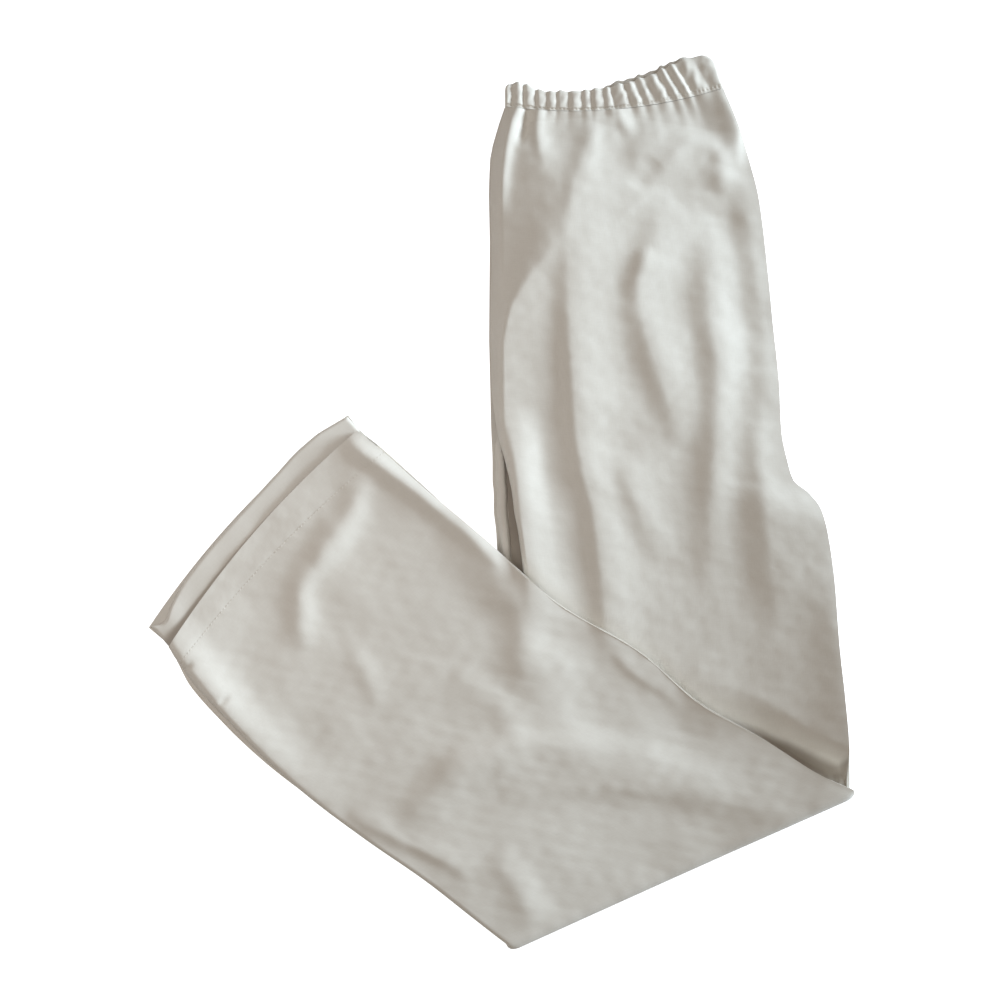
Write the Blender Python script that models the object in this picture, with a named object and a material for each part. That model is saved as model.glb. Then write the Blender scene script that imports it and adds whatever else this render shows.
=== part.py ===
"""Pull-on linen trousers, folded and laid flat.

The pair is folded in half down the middle, leg on leg, with the two fronts outside and the two backs
inside, and then the lower legs are folded up over the knees. From the floor up, the upper half is
left front, left back, right back, right front. The left front goes round the outside of the knee fold
and is the top of the lower half; the right front lies inside the fold and under the lower half.

+X runs from the side seams to the centre seams, +Y from the knees to the waist, +Z up from the floor.
Lengths are in millimetres until a mesh is made. The object's origin is on the floor, under the middle of
its outline, which lies at CENTRE in the tables below.
"""

import math
from collections import namedtuple

import bmesh
import bpy
import numpy as np

MM = 0.001
CENTRE = np.array([-1.2, -0.6, 0.0])

# Cloth and stack
WALL = 1.3  # one leg panel
HEM_WALL = 2.0  # a panel with its hem turned up
HEM_DEPTH = 30.0
GAP = 0.3  # between pieces that lie on each other
CORE = 3.4  # the two back panels, pressed together
SLACK = 0.45  # air round the back panels in the lower half
STACK = 2 * WALL + 2 * GAP + CORE  # one half of the folded pair
FOLD_GAP = 0.7  # between the two halves
FOLD_AIR = 1.0  # between the left front and the back panels, round the knee fold
FOLD_REACH = 8.0  # from the start of the knee fold to its outermost line
FOLD_TRAVEL = 20.0  # length given to the turn along a panel
FOLD_CORNER = 14.0  # radius of the fold's two corners, seen from above
FOLD_SQUARE = 0.15  # share of the reach that the corners keep

# Edges, where a panel rolls over the ones below it
UPPER_ROLL = 6.0
LOWER_ROLL = 7.0
BACKS_ROLL = 4.0
ROLL_STEPS = 3
RIM = 0.6  # a panel's rim above what it hangs down to
BACKS_RIM = 0.8  # thickness of the back panels at their edges
BACKS_AIR = 0.6  # between the back panels and the right front in the upper half
BACKS_START = 0.5  # from the casing's stitch line to the back panels
BACKS_STOP = 8.0  # from the back panels to the right leg's hem strip
BACKS_INSET = 6.0  # how far in the back panels' edges lie
BACKS_SHOWN_INSET = 1.5  # and where the right leg has slid off them
SLID_FROM, SLID_OVER = 8.0, 6.0  # insets of the right front between which they come out so far

# Insets of the panel underneath between which the left front's rim rises on to it, and the rise
PEEK_NONE, PEEK_WHOLE, PEEK_RISE = 4.5, 1.5, 1.7
# Insets of the right front between which its rim leaves the floor side and lies on the back panels
WRAP_WHOLE, WRAP_NONE = 1.2, 3.7

# The lower legs leave the upper half at its side edge and come down to the floor
BROW = 2.0  # how far outside that edge they begin to fall
FALL = 50.0  # how long the slope of their underside is
TOP_FALL = 76.0  # and that of the left front, which bridges the step
PRESS = 26.0  # folds of the upper half are pressed out over this distance from the lower legs
LOWER_SLOPE = math.radians(36)  # how far the lower legs' inseam edge leans from the X axis

# Waistband casing
BAND_WALL = 2.3  # each flat casing on the floor
BAND_CORE = 2.8  # the two back casings together
BAND_LOW = 1.7  # front casing at a gather's valley
BAND_RISE = 2.6  # what a gather's crest adds
BAND_FOOT = 0.36  # from the stitch line to the casing
BAND_EDGE = 0.5  # least thickness anywhere
BAND_INSET = 0.4
BACK_SCALLOP, FRONT_SCALLOP = 0.05, 0.07  # share of its height that a casing's edge drops at a valley
LEFT_LOWER = -0.5  # rise of the left front's casing, as a share of the back casings' rise
CASING_UPS = (0.0, 0.14, 0.4, 0.7, 0.9, 1.0)  # places up a casing, from its stitches to its top edge
CASING_BODY = (0.5, 0.85, 1.0, 0.95, 0.75, 0.3)  # and its thickness there
BACK_POINTS = 25  # places along the back casings
GATHER_RELIEF = 1.7  # gathers just under the casing
GATHER_FADE = 20.0  # how fast they die out down the panel
POINTS_PER_GATHER = 4
GATHER_LINES = (0.0, 7.0, 17.0, 30.0)  # cross lines just under the casing that follow the gathers

# Hem of the right leg, which shows beyond the left leg's
STRIP_TUCK = 9.0  # how far it reaches under the left leg's hem
STRIP_THICK = 1.8
STRIP_RIM = 0.7  # its thickness at the edges
STRIP_ROLL = 4.0
STRIP_INSET = 1.2
STRIP_SIDE_INSET = 3.2
STRIP_AIR = 1.8  # between it and the left leg's hem

# How finely each panel is divided: cells across it, and millimetres along it
CELLS_SHOWN = 22
CELLS_HIDDEN = 11
CELLS_FLAT = 5
PITCH_UPPER = 14.0
PITCH_LOWER = 16.0
PITCH_HIDDEN = 34.0
TURN_STEPS = 5
SHOWN_LENGTH = 560.0  # how much of the upper half lies free of the lower legs

# A cross line of a leg from its side seam to its centre seam or inseam. bow bends the middle of the line on
# towards the hem, and side_in and inner_in say how far the right front's edges lie inside the left front's.
CrossLine = namedtuple("CrossLine", "side_x side_y inner_x inner_y bow side_in inner_in")

UPPER_LINES = [
    CrossLine(3, 323, 183, 338, 10, 0.4, 0.4),  # stitch line of the casing
    CrossLine(-3, 305, 196, 305, 5, 0.6, 0.6),
    CrossLine(-9, 279, 204, 279, 3, 0.8, 0.8),
    CrossLine(-10, 246, 212, 246, 0, 1, 1),
    CrossLine(-9, 197, 218, 197, 0, 1, 1),
    CrossLine(-10, 148, 223, 148, 0, 1, 1),
    CrossLine(-9, 98, 228, 98, 0, 1, 1),
    CrossLine(-8, 56, 230, 56, 0, 4, 1),
    CrossLine(-7, 31, 235, 31, 0, 12, 1),  # the crotch begins to spread
    CrossLine(-7, 16, 240, 16, 0, 15, 1),
    CrossLine(-6, 6, 252, 6, 0, 17, 1),
    CrossLine(-6, -7, 262, -7, 0, 18, 1),  # crotch point
    CrossLine(-4, -26, 268, -28, 0, 18, 1),
    CrossLine(-2, -66, 273, -62, 0, 18, 1),
    CrossLine(0, -131, 279, -123, 0, 10, 1),
    CrossLine(2, -213, 284, -168, 0, 4, 1),
    CrossLine(3, -295, 287, -207, 0, 2, 1),
    CrossLine(4, -364, 287, -236, 0, 3, 3),  # the knee fold begins
]

LOWER_LINES = [
    CrossLine(4, -364, 287, -236, 0, 3, 3),
    CrossLine(-25, -342, 262, -225, 0, 4, 4),
    CrossLine(-64, -312, 214, -195, 0, 5, 5),
    CrossLine(-112, -279, 163, -166, 0, 4, 5),
    CrossLine(-156, -246, 114, -124, 0, 1, 5),
    CrossLine(-193, -214, 48, -85, 1, -2, 5),
    CrossLine(-224, -182, -12, -33, 3, -4, 3),
    CrossLine(-253, -151, -70, 16, 6, -4, -1),
    CrossLine(-267, -131, -103, 45, 8, -4, -1.5),
    CrossLine(-273, -121, -118, 57, 9, -4, -1.5),  # hem of the left leg
    CrossLine(-290, -105, -126, 70, 10, 0, 0),  # hem of the right leg
]
LEFT_HEM_LINE = 9  # the line above where the left leg ends

# A fold of the cloth: a soft ridge along a smooth spine. lee and sun are its half widths to the left and
# to the right of the spine, looking along it from its first point.
Fold = namedtuple("Fold", "height lee sun spine")

UPPER_FOLDS = {
    "main": Fold(6.4, 14, 18, [(73, 306), (65, 262), (62, 197), (62, 66), (73, 0), (84, -70)]),
    "hip": Fold(3.8, 13, 10, [(6, 149), (17, 172), (32, 195), (45, 221), (53, 252)]),
    "centre": Fold(3.2, 13, 10, [(114, 148), (118, 176), (126, 205), (141, 238)]),
    "thigh": Fold(4.0, 14, 10, [(140, 37), (139, 60), (132, 94), (122, 123), (115, 150)]),
    "right": Fold(5.4, 14, 12, [(178, 217), (173, 172), (176, 127), (183, 94), (181, 61), (175, -33)]),
    "edge": Fold(3.8, 9, 12, [(181, 326), (196, 303), (204, 254), (215, 156), (221, 107), (222, 66)]),
    "crotch": Fold(4.6, 16, 24, [(216, 57), (221, 16), (227, -33), (235, -82), (243, -131)]),
    "side": Fold(4.0, 9, 12, [(18, 52), (20, 8), (24, -33), (26, -66)]),
    "dimple": Fold(2.2, 9, 9, [(144, 269), (157, 279), (170, 276), (176, 262)]),
    "side top": Fold(2.0, 8, 7, [(10, 318), (1, 287), (-1, 252)]),
    "under band": Fold(2.2, 7, 8, [(38, 318), (36, 298), (38, 280)]),
}

LOWER_FOLDS = {
    "hem": Fold(3.4, 12, 13, [(-155, -115), (-148, -78), (-138, -45), (-125, -12), (-117, 16)]),
    "brow": Fold(4.6, 20, 18, [(-42, -236), (-19, -222), (6, -197), (16, -164), (12, -123), (-7, -49)]),
    "long": Fold(3.0, 10, 14, [(24, -232), (98, -235), (163, -239), (204, -246), (237, -257)]),
    "side": Fold(2.6, 14, 14, [(-191, -207), (-218, -174), (-239, -139), (-251, -106)]),
    "knee": Fold(2.4, 14, 14, [(24, -295), (26, -322), (25, -345)]),
    "lip": Fold(2.6, 7, 8, [(50, -97), (98, -131), (130, -153), (163, -176), (205, -200)]),
}
SPINE_STEPS = 5  # pieces that a fold's spine is drawn in, between two of its points
FOLD_ENDS = 0.22  # share of a fold over which it rises and dies out at each end

# Valleys of the gathers along the casing, in millimetres from the side seam
GATHER_VALLEYS = [5, 15, 25, 34, 42, 52, 63, 71, 82, 91, 104, 115, 125, 138, 147, 155, 166]
GATHER_PITCH = 11.0
BAND_LENGTH = 180.0
# Height of the casing from its stitch line, and its lean towards the centre seam, along the casing
BandLine = namedtuple("BandLine", "along height lean back_rise")
BAND_LINES = [
    BandLine(0, 18, 2, 0.6),
    BandLine(18, 21, -1, 0.8),
    BandLine(32, 17, -2, 0.5),
    BandLine(78, 19, -4, 0.8),
    BandLine(100, 22, -7, 3.0),
    BandLine(130, 25, -9, 3.0),
    BandLine(152, 28, -11, 2.0),
    BandLine(180, 29, -12, 0.8),
]

LINEN_RIGHT = (0.68, 0.64, 0.57, 1.0)
LINEN_LEFT = (0.62, 0.58, 0.51, 1.0)
LINEN_BACK = (0.56, 0.51, 0.44, 1.0)
LINEN_BAND = (0.72, 0.68, 0.61, 1.0)
LINEN_ROUGHNESS = 0.85
SHARP = math.radians(50)  # edges bent further than this are drawn sharp


# Curves through tables


def cubic(knots, values, at):
    """A curve through the values at the knots that never overshoots them, read at each place."""
    knots = np.asarray(knots, float)
    values = np.asarray(values, float)
    slope = np.diff(values) / np.diff(knots)
    tangent = np.concatenate([slope[:1], np.zeros(len(knots) - 2), slope[-1:]])
    same_way = slope[:-1] * slope[1:] > 0
    mean = 2 * slope[:-1] * slope[1:] / np.where(same_way, slope[:-1] + slope[1:], 1)
    tangent[1:-1] = np.where(same_way, mean, 0)
    place = np.clip(np.searchsorted(knots, at, side="right") - 1, 0, len(knots) - 2)
    length = np.diff(knots)[place]
    u = (at - knots[place]) / length
    start, end = values[place], values[place + 1]
    inside = (
        start * (1 + 2 * u) * (1 - u) ** 2
        + end * u * u * (3 - 2 * u)
        + length * tangent[place] * u * (1 - u) ** 2
        - length * tangent[place + 1] * u * u * (1 - u)
    )
    before = values[0] + (at - knots[0]) * tangent[0]
    after = values[-1] + (at - knots[-1]) * tangent[-1]
    return np.where(at < knots[0], before, np.where(at > knots[-1], after, inside))


def smoothstep(x):
    x = np.clip(x, 0, 1)
    return x * x * (3 - 2 * x)


def quarter_round(distance, radius):
    """0 at an edge and 1 from the radius inwards, along a quarter of a circle."""
    part = np.clip(distance / radius, 0, 1)
    return np.sqrt(np.maximum(1 - (1 - part) ** 2, 0))


class Leg:
    """A leg laid flat: cross lines from one end to the other, read at any distance along its middle.

    turn is 1 where the way along lies clockwise of the way across, seen from above, and -1 where it
    lies the other way.
    """

    def __init__(self, lines, turn):
        self.turn = turn
        self.table = np.array(lines, float)
        middle = (self.table[:, 0:2] + self.table[:, 2:4]) / 2
        steps = np.linalg.norm(np.diff(middle, axis=0), axis=1)
        self.knots = np.concatenate([[0], np.cumsum(steps)])
        self.length = self.knots[-1]

    def read(self, along):
        return CrossLine(*[cubic(self.knots, column, np.asarray(along, float)) for column in self.table.T])

    def width(self, along):
        line = self.read(along)
        return float(np.hypot(line.inner_x - line.side_x, line.inner_y - line.side_y))

    def plan(self, along, across, side_in=0.0, inner_in=0.0):
        """Points in the plane at one distance along, for shares across from the side, 0, to the middle, 1."""
        line = self.read(along)
        side = np.array([line.side_x, line.side_y])
        inner = np.array([line.inner_x, line.inner_y])
        way = (inner - side) / np.linalg.norm(inner - side)
        onward = np.array([way[1], -way[0]]) * self.turn
        width = np.linalg.norm(inner - side)
        share = (side_in + across * (width - side_in - inner_in)) / width
        bend = line.bow * 4 * share * (1 - share)
        return side + np.outer(share, inner - side) + np.outer(bend, onward)


UPPER = Leg(UPPER_LINES, turn=1)
LOWER = Leg(LOWER_LINES, turn=-1)
KNEE_INSET = LOWER_LINES[0].side_in
LEFT_END = LOWER.knots[LEFT_HEM_LINE]


# Relief


def spine_of(points):
    """Points along a smooth curve through a fold's points."""
    points = np.array(points, float)
    knots = np.arange(len(points))
    at = np.linspace(0, len(points) - 1, (len(points) - 1) * SPINE_STEPS + 1)
    return np.stack([cubic(knots, points[:, 0], at), cubic(knots, points[:, 1], at)], axis=1)


def fold_height(fold, spine, x, y):
    best = np.full(x.shape, np.inf)
    side = np.zeros(x.shape)
    share = np.zeros(x.shape)
    pieces = len(spine) - 1
    for i in range(pieces):
        ax, ay = spine[i]
        bx, by = spine[i + 1]
        dx, dy = bx - ax, by - ay
        u = np.clip(((x - ax) * dx + (y - ay) * dy) / (dx * dx + dy * dy), 0, 1)
        away_x, away_y = x - ax - u * dx, y - ay - u * dy
        distance = np.hypot(away_x, away_y)
        nearer = distance < best
        best = np.where(nearer, distance, best)
        side = np.where(nearer, dx * away_y - dy * away_x, side)
        share = np.where(nearer, (i + u) / pieces, share)
    width = np.where(side > 0, fold.lee, fold.sun)
    ends = smoothstep(share / FOLD_ENDS) * smoothstep((1 - share) / FOLD_ENDS)
    return fold.height * ends * np.exp(-((best / width) ** 2))


def relief(folds):
    spines = {name: spine_of(fold.spine) for name, fold in folds.items()}
    return lambda x, y: sum(fold_height(fold, spines[name], x, y) for name, fold in folds.items())


upper_relief = relief(UPPER_FOLDS)
lower_relief = relief(LOWER_FOLDS)


def outside_lower_leg(x, y):
    """How far a point lies on the waist side of the lower leg's inseam edge."""
    edge = LOWER.table[LEFT_HEM_LINE::-1]
    return (y - cubic(edge[:, 2], edge[:, 3], x)) * math.cos(LOWER_SLOPE)


def pressed(x, y):
    """1 where the upper half lies free, 0 under the lower legs."""
    return smoothstep((outside_lower_leg(x, y) + PRESS / 2) / PRESS)


def upper_top(x, y):
    """Top of the upper half: four layers, with the folds of the right front."""
    return STACK + upper_relief(x, y) * pressed(x, y)


def side_edge_x(y):
    edge = UPPER.table[::-1]
    return cubic(edge[:, 1], edge[:, 0], y)


def lower_rest(x, y, fall=FALL):
    """What the lower half rests on: the upper half, then a slope, then the floor."""
    brow = side_edge_x(np.clip(y, UPPER.table[-1, 1], UPPER.table[0, 1])) - BROW
    return smoothstep((x - brow + fall) / fall) * (upper_top(x, y) + FOLD_GAP)


def lower_top(x, y):
    return lower_rest(x, y, TOP_FALL) + STACK + lower_relief(x, y)


def gathers(along_band):
    """0 in each valley of the gathers and 1 on each crest, at millimetres along the casing."""
    before, after = GATHER_VALLEYS[0] - GATHER_PITCH, GATHER_VALLEYS[-1] + GATHER_PITCH
    valleys = [before] + GATHER_VALLEYS + [after, after + GATHER_PITCH]
    phase = np.interp(along_band, valleys, np.arange(len(valleys)))
    return 0.5 - 0.5 * np.cos(2 * math.pi * phase)


# Surfaces: each takes a distance along a panel and shares across it, and gives points


def with_height(plan, z):
    return np.column_stack([plan, np.broadcast_to(z, (len(plan),))])


def knee_turn(low, high, part, across, inset, depth):
    """A turn at the knee from points on the upper half to points on the lower one, as half an ellipse.

    Its outermost line follows the fold's rounded corners, at a depth inside the left front's outer face.
    """
    way = high[-1, :2] - high[0, :2]
    onward = np.array([way[1], -way[0]]) / np.linalg.norm(way)
    distance = edge_distance(LOWER, 0.0, across, inset, inset) + inset
    square = FOLD_SQUARE + (1 - FOLD_SQUARE) * quarter_round(distance, FOLD_CORNER)
    angle = math.pi * (part - 0.5)
    plan = high[:, :2] + np.outer(FOLD_REACH * square - depth, onward) * math.cos(angle)
    middle = (high[:, 2] + low[:, 2]) / 2
    return with_height(plan, middle + (high[:, 2] - middle) * math.sin(angle))


def edge_distance(leg, along, across, side_in=0.0, inner_in=0.0):
    width = leg.width(along) - side_in - inner_in
    return np.minimum(across, 1 - across) * width


def left_front_lower(along, across):
    """Outer face of the left front, on top of the lower half."""
    plan = LOWER.plan(along, across)
    x, y = plan[:, 0], plan[:, 1]
    line = LOWER.read(along)
    rest = lower_rest(x, y)
    peek = np.where(across < 0.5, line.side_in, line.inner_in)
    lip = rest + RIM + PEEK_RISE * smoothstep((PEEK_NONE - peek) / (PEEK_NONE - PEEK_WHOLE))
    over_hem = rest + WALL + STRIP_THICK + STRIP_AIR
    lip = lip + (over_hem - lip) * smoothstep((along - LEFT_END + 2 * STRIP_TUCK) / STRIP_TUCK)
    top = lower_top(x, y)
    distance = edge_distance(LOWER, along, across)
    return with_height(plan, lip + (top - lip) * quarter_round(distance, LOWER_ROLL))


def left_front(along, across):
    if along <= UPPER.length:
        return with_height(UPPER.plan(along, across), 0.0)
    part = (along - UPPER.length) / FOLD_TRAVEL
    if part < 1:
        low = left_front(UPPER.length, across)
        return knee_turn(low, left_front_lower(0.0, across), part, across, 0.0, 0.0)
    return left_front_lower(along - UPPER.length - FOLD_TRAVEL, across)


def right_front_upper(along, across):
    """Outer face of the right front, on top of the upper half."""
    line = UPPER.read(along)
    plan = UPPER.plan(along, across, line.side_in, line.inner_in)
    top = upper_top(plan[:, 0], plan[:, 1])
    top = top + GATHER_RELIEF * gathers(across * BAND_LENGTH) * math.exp(-((along / GATHER_FADE) ** 2))
    shown = np.where(across < 0.5, line.side_in, line.inner_in)
    lying = smoothstep((shown - WRAP_WHOLE) / (WRAP_NONE - WRAP_WHOLE))
    lip = np.minimum(WALL + RIM + (STACK - 2 * WALL - GAP) * lying, top)
    distance = edge_distance(UPPER, along, across, line.side_in, line.inner_in)
    return with_height(plan, lip + (top - lip) * quarter_round(distance, UPPER_ROLL))


def right_front_lower(along, across):
    line = LOWER.read(along)
    plan = LOWER.plan(along, across, line.side_in, line.inner_in)
    return with_height(plan, lower_rest(plan[:, 0], plan[:, 1]))


def right_front(along, across):
    if along <= UPPER.length:
        return right_front_upper(along, across)
    part = (along - UPPER.length) / FOLD_TRAVEL
    if part < 1:
        low = right_front_upper(UPPER.length, across)
        return knee_turn(low, right_front_lower(0.0, across), part, across, KNEE_INSET, STACK)
    return right_front_lower(along - UPPER.length - FOLD_TRAVEL, across)


def backs_side_in(along):
    """How far in the back panels' side edge lies: near the edge where the right leg has slid off them."""
    slid = smoothstep((UPPER.read(along).side_in - SLID_FROM) / SLID_OVER)
    return BACKS_INSET - (BACKS_INSET - BACKS_SHOWN_INSET) * slid


def backs_upper(along, across, top):
    side_in = backs_side_in(along)
    plan = UPPER.plan(along, across, side_in, BACKS_INSET)
    low, high = WALL + GAP, STACK - WALL - BACKS_AIR
    if not top:
        return with_height(plan, low)
    distance = edge_distance(UPPER, along, across, side_in, BACKS_INSET)
    return with_height(plan, low + BACKS_RIM + (high - low - BACKS_RIM) * quarter_round(distance, BACKS_ROLL))


def backs_lower(along, across, top):
    line = LOWER.read(along)
    plan = LOWER.plan(along, across, line.side_in, line.inner_in)
    rise = STACK - WALL - SLACK if top else WALL + SLACK
    return with_height(plan, lower_rest(plan[:, 0], plan[:, 1]) + rise)


def backs(along, across, outer):
    """The face of the back panels towards the left front, or the one towards the right front."""
    if along < UPPER.length:
        return backs_upper(along, across, top=not outer)
    part = (along - UPPER.length) / FOLD_TRAVEL
    if part < 1:
        high = backs_lower(0.0, across, top=outer)
        low = with_height(high[:, :2], WALL + GAP if outer else STACK - WALL - GAP)
        depth = WALL + FOLD_AIR if outer else STACK - WALL - SLACK
        return knee_turn(low, high, part, across, KNEE_INSET, depth)
    return backs_lower(along - UPPER.length - FOLD_TRAVEL, across, top=outer)


# Meshes


def facing(surface, along, across):
    """Unit normals along one cross line: the way along, crossed with the way across."""
    step, share = 0.05, 0.0002
    onward = surface(along + step, across) - surface(along - step, across)
    sideways = surface(along, np.minimum(across + share, 1)) - surface(along, np.maximum(across - share, 0))
    normal = np.cross(onward, sideways)
    return normal / np.linalg.norm(normal, axis=1, keepdims=True)


def zipper(first, second):
    """Triangles between two rows of shares across, as pairs of (row, place), whatever their counts."""
    i = j = 0
    while i < len(first) - 1 or j < len(second) - 1:
        step_first = j == len(second) - 1 or (i < len(first) - 1 and first[i + 1] <= second[j + 1])
        if step_first:
            yield (0, i), (0, i + 1), (1, j)
            i += 1
        else:
            yield (0, i), (1, j + 1), (1, j)
            j += 1


def slab(bm, rows, outer, inner):
    """A closed solid between two faces. rows holds the shares across of each cross line."""
    faces = [
        [[bm.verts.new((point - CENTRE) * MM) for point in row] for row in face]
        for face in (outer, inner)
    ]
    for k in range(len(rows) - 1):
        for triangle in zipper(rows[k], rows[k + 1]):
            for face in faces:
                bm.faces.new([face[k + row][place] for row, place in triangle])
        for end in (0, -1):
            bm.faces.new([faces[0][k][end], faces[0][k + 1][end], faces[1][k + 1][end], faces[1][k][end]])
    for k in (0, -1):
        for i in range(len(rows[k]) - 1):
            bm.faces.new([faces[0][k][i], faces[0][k][i + 1], faces[1][k][i + 1], faces[1][k][i]])
    bmesh.ops.recalc_face_normals(bm, faces=bm.faces)


def add_object(name, bm, colour):
    mesh = bpy.data.meshes.new(name)
    bm.to_mesh(mesh)
    bm.free()
    for polygon in mesh.polygons:
        polygon.use_smooth = True
    mesh.set_sharp_from_angle(angle=SHARP)
    mesh.materials.append(linen(name, colour))
    obj = bpy.data.objects.new(name, mesh)
    bpy.context.scene.collection.objects.link(obj)
    return obj


def linen(name, colour):
    material = bpy.data.materials.new(name + "_linen")
    material.use_nodes = True
    shader = material.node_tree.nodes["Principled BSDF"]
    shader.inputs["Base Color"].default_value = colour
    shader.inputs["Roughness"].default_value = LINEN_ROUGHNESS
    shader.inputs["Metallic"].default_value = 0.0
    return material


def shares(width, roll, cells, steps=ROLL_STEPS):
    """Shares across a panel: close together on the rolled edges, evenly spaced between them."""
    angles = np.linspace(0, math.pi / 2, steps + 1)
    edge = roll * (1 - np.cos(angles)) / width
    middle = np.linspace(edge[-1], 1 - edge[-1], cells + 1)
    return np.concatenate([edge[:-1], middle, 1 - edge[-2::-1]])


def flat_shares(cells):
    return np.linspace(0, 1, cells + 1)


def layered_shares():
    """Shares across the right front's hidden run. The back panels on it take all but the first and last."""
    return np.concatenate([[0], np.linspace(0.03, 0.97, CELLS_HIDDEN), [1]])


def gather_shares():
    """Shares across the casing: a few to each gather, from valley to valley."""
    stops = np.array([0] + GATHER_VALLEYS + [BAND_LENGTH]) / BAND_LENGTH
    parts = [np.linspace(a, b, POINTS_PER_GATHER + 1)[:-1] for a, b in zip(stops, stops[1:])]
    return np.concatenate(parts + [[1.0]])


def evenly(start, end, pitch):
    return list(np.linspace(start, end, max(1, round((end - start) / pitch)) + 1))


def panel(name, surface, cross_lines, wall, colour, out):
    """A cloth wall hung inwards from its outer face.

    out is 1 for a panel whose outer face looks up in the upper half, and -1 for one that looks down.
    """
    outer, inner = [], []
    for along, across in cross_lines:
        points = surface(along, across)
        outer.append(points)
        inner.append(points - out * facing(surface, along, across) * wall(along))
    bm = bmesh.new()
    slab(bm, [across for _, across in cross_lines], outer, inner)
    return add_object(name, bm, colour)


def lines_between(leg, start, end, pitch):
    """Distances along a leg no further apart than the pitch, with every line of its table among them."""
    stops = [start] + [knot for knot in leg.knots if start + 2 < knot < end - 2] + [end]
    lines = [start]
    for near, far in zip(stops, stops[1:]):
        lines += evenly(near, far, pitch)[1:]
    return lines


def turn_rows(across, first=1):
    parts = np.linspace(0, 1, TURN_STEPS + 1)[first:]
    return [(UPPER.length + FOLD_TRAVEL * part, across) for part in parts]


def lower_lines(end):
    """Distances along the lower half, after the knee fold, that all its layers share."""
    return [along for along in lines_between(LOWER, 0, LOWER.length, PITCH_LOWER)[1:] if along < end + 1]


def make_right_front():
    rows = [(along, gather_shares()) for along in GATHER_LINES]
    for along in lines_between(UPPER, GATHER_LINES[-1] + PITCH_UPPER, SHOWN_LENGTH, PITCH_UPPER):
        rows.append((along, shares(UPPER.width(along), UPPER_ROLL, CELLS_SHOWN)))
    for along in lines_between(UPPER, SHOWN_LENGTH, UPPER.length, PITCH_HIDDEN)[1:]:
        rows.append((along, shares(UPPER.width(along), UPPER_ROLL, CELLS_HIDDEN, 2)))
    rows += turn_rows(layered_shares())
    start = UPPER.length + FOLD_TRAVEL
    for along in lower_lines(LOWER.length):
        rows.append((start + along, layered_shares()))
    return panel("right_front_panel", right_front, rows, lambda along: WALL, LINEN_RIGHT, out=1)


def make_left_front():
    rows = [(0.0, flat_shares(2 * CELLS_FLAT))]
    for along in UPPER.knots[1:]:
        rows.append((along, flat_shares(CELLS_FLAT)))
    rows += turn_rows(shares(LOWER.width(0), LOWER_ROLL, CELLS_SHOWN))
    start = UPPER.length + FOLD_TRAVEL
    for along in lower_lines(LEFT_END):
        rows.append((start + along, shares(LOWER.width(along), LOWER_ROLL, CELLS_SHOWN)))
    hem_start = start + LEFT_END - HEM_DEPTH

    def wall(along):
        return WALL + (HEM_WALL - WALL) * smoothstep(2 * (along - hem_start) / HEM_DEPTH)

    return panel("left_front_panel", left_front, rows, wall, LINEN_LEFT, out=-1)


def make_backs():
    rows = []
    for along in [BACKS_START] + list(UPPER.knots[1:-1]):
        rows.append((along, shares(UPPER.width(along), BACKS_ROLL, CELLS_FLAT, 2)))
    across = layered_shares()[1:-1]
    rows += turn_rows(across, first=0)
    start = UPPER.length + FOLD_TRAVEL
    for along in lower_lines(LEFT_END - STRIP_TUCK - BACKS_STOP):
        rows.append((start + along, across))
    outer = [backs(along, across, outer=True) for along, across in rows]
    inner = [backs(along, across, outer=False) for along, across in rows]
    bm = bmesh.new()
    slab(bm, [across for _, across in rows], outer, inner)
    return add_object("back_panels", bm, LINEN_BACK)


def make_right_hem():
    """The right leg's turned hem: a flat round-edged band on the right front's end, under the left leg's."""
    rows, outer, inner = [], [], []
    for along in evenly(LEFT_END - STRIP_TUCK, LOWER.length - STRIP_INSET, PITCH_LOWER / 3):
        across = shares(LOWER.width(along), STRIP_ROLL, CELLS_SHOWN)
        line = LOWER.read(along)
        side_in, inner_in = line.side_in + STRIP_SIDE_INSET, line.inner_in + STRIP_INSET
        plan = LOWER.plan(along, across, side_in, inner_in)
        low = lower_rest(plan[:, 0], plan[:, 1]) + WALL + GAP
        distance = edge_distance(LOWER, along, across, side_in, inner_in)
        end_distance = LOWER.length - STRIP_INSET - along
        rise = quarter_round(distance, STRIP_ROLL) * (1 + quarter_round(end_distance, STRIP_ROLL)) / 2
        rows.append(across)
        inner.append(with_height(plan, low))
        outer.append(with_height(plan, low + STRIP_RIM + (STRIP_THICK - STRIP_RIM) * rise))
    bm = bmesh.new()
    slab(bm, rows, outer, inner)
    return add_object("right_leg_hem", bm, LINEN_RIGHT)


def band_plan(across, up, scallop=0.0, extra=0.0):
    """Points of the casing: across it from the side seam, and up it from the stitches, 0, to the top, 1."""
    along = across * BAND_LENGTH
    table = np.array(BAND_LINES)
    height, lean, rise = (cubic(table[:, 0], table[:, k], along) for k in (1, 2, 3))
    foot = UPPER.plan(0.0, across, BAND_INSET, BAND_INSET)
    chord = foot[-1] - foot[0]
    way = chord / np.linalg.norm(chord)
    upward = np.array([-way[1], way[0]])
    tall = BAND_FOOT + up * (height * (1 - scallop * (1 - gathers(along))) + extra * rise)
    return foot + np.outer(tall, upward) + np.outer(up * lean, way)


def casing(name, across, low, thick, scallop, extra, colour):
    """A casing: a closed ring of points at each place across it, flat below and rounded above."""
    inner, outer = [], []
    for up, body in zip(CASING_UPS, CASING_BODY):
        plan = band_plan(across, up, scallop, extra)
        inner.append(with_height(plan, low))
        outer.append(with_height(plan, low + BAND_EDGE + (thick(across) - BAND_EDGE) * body))
    bm = bmesh.new()
    slab(bm, [across] * len(CASING_UPS), outer, inner)
    return add_object(name, bm, colour)


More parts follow.
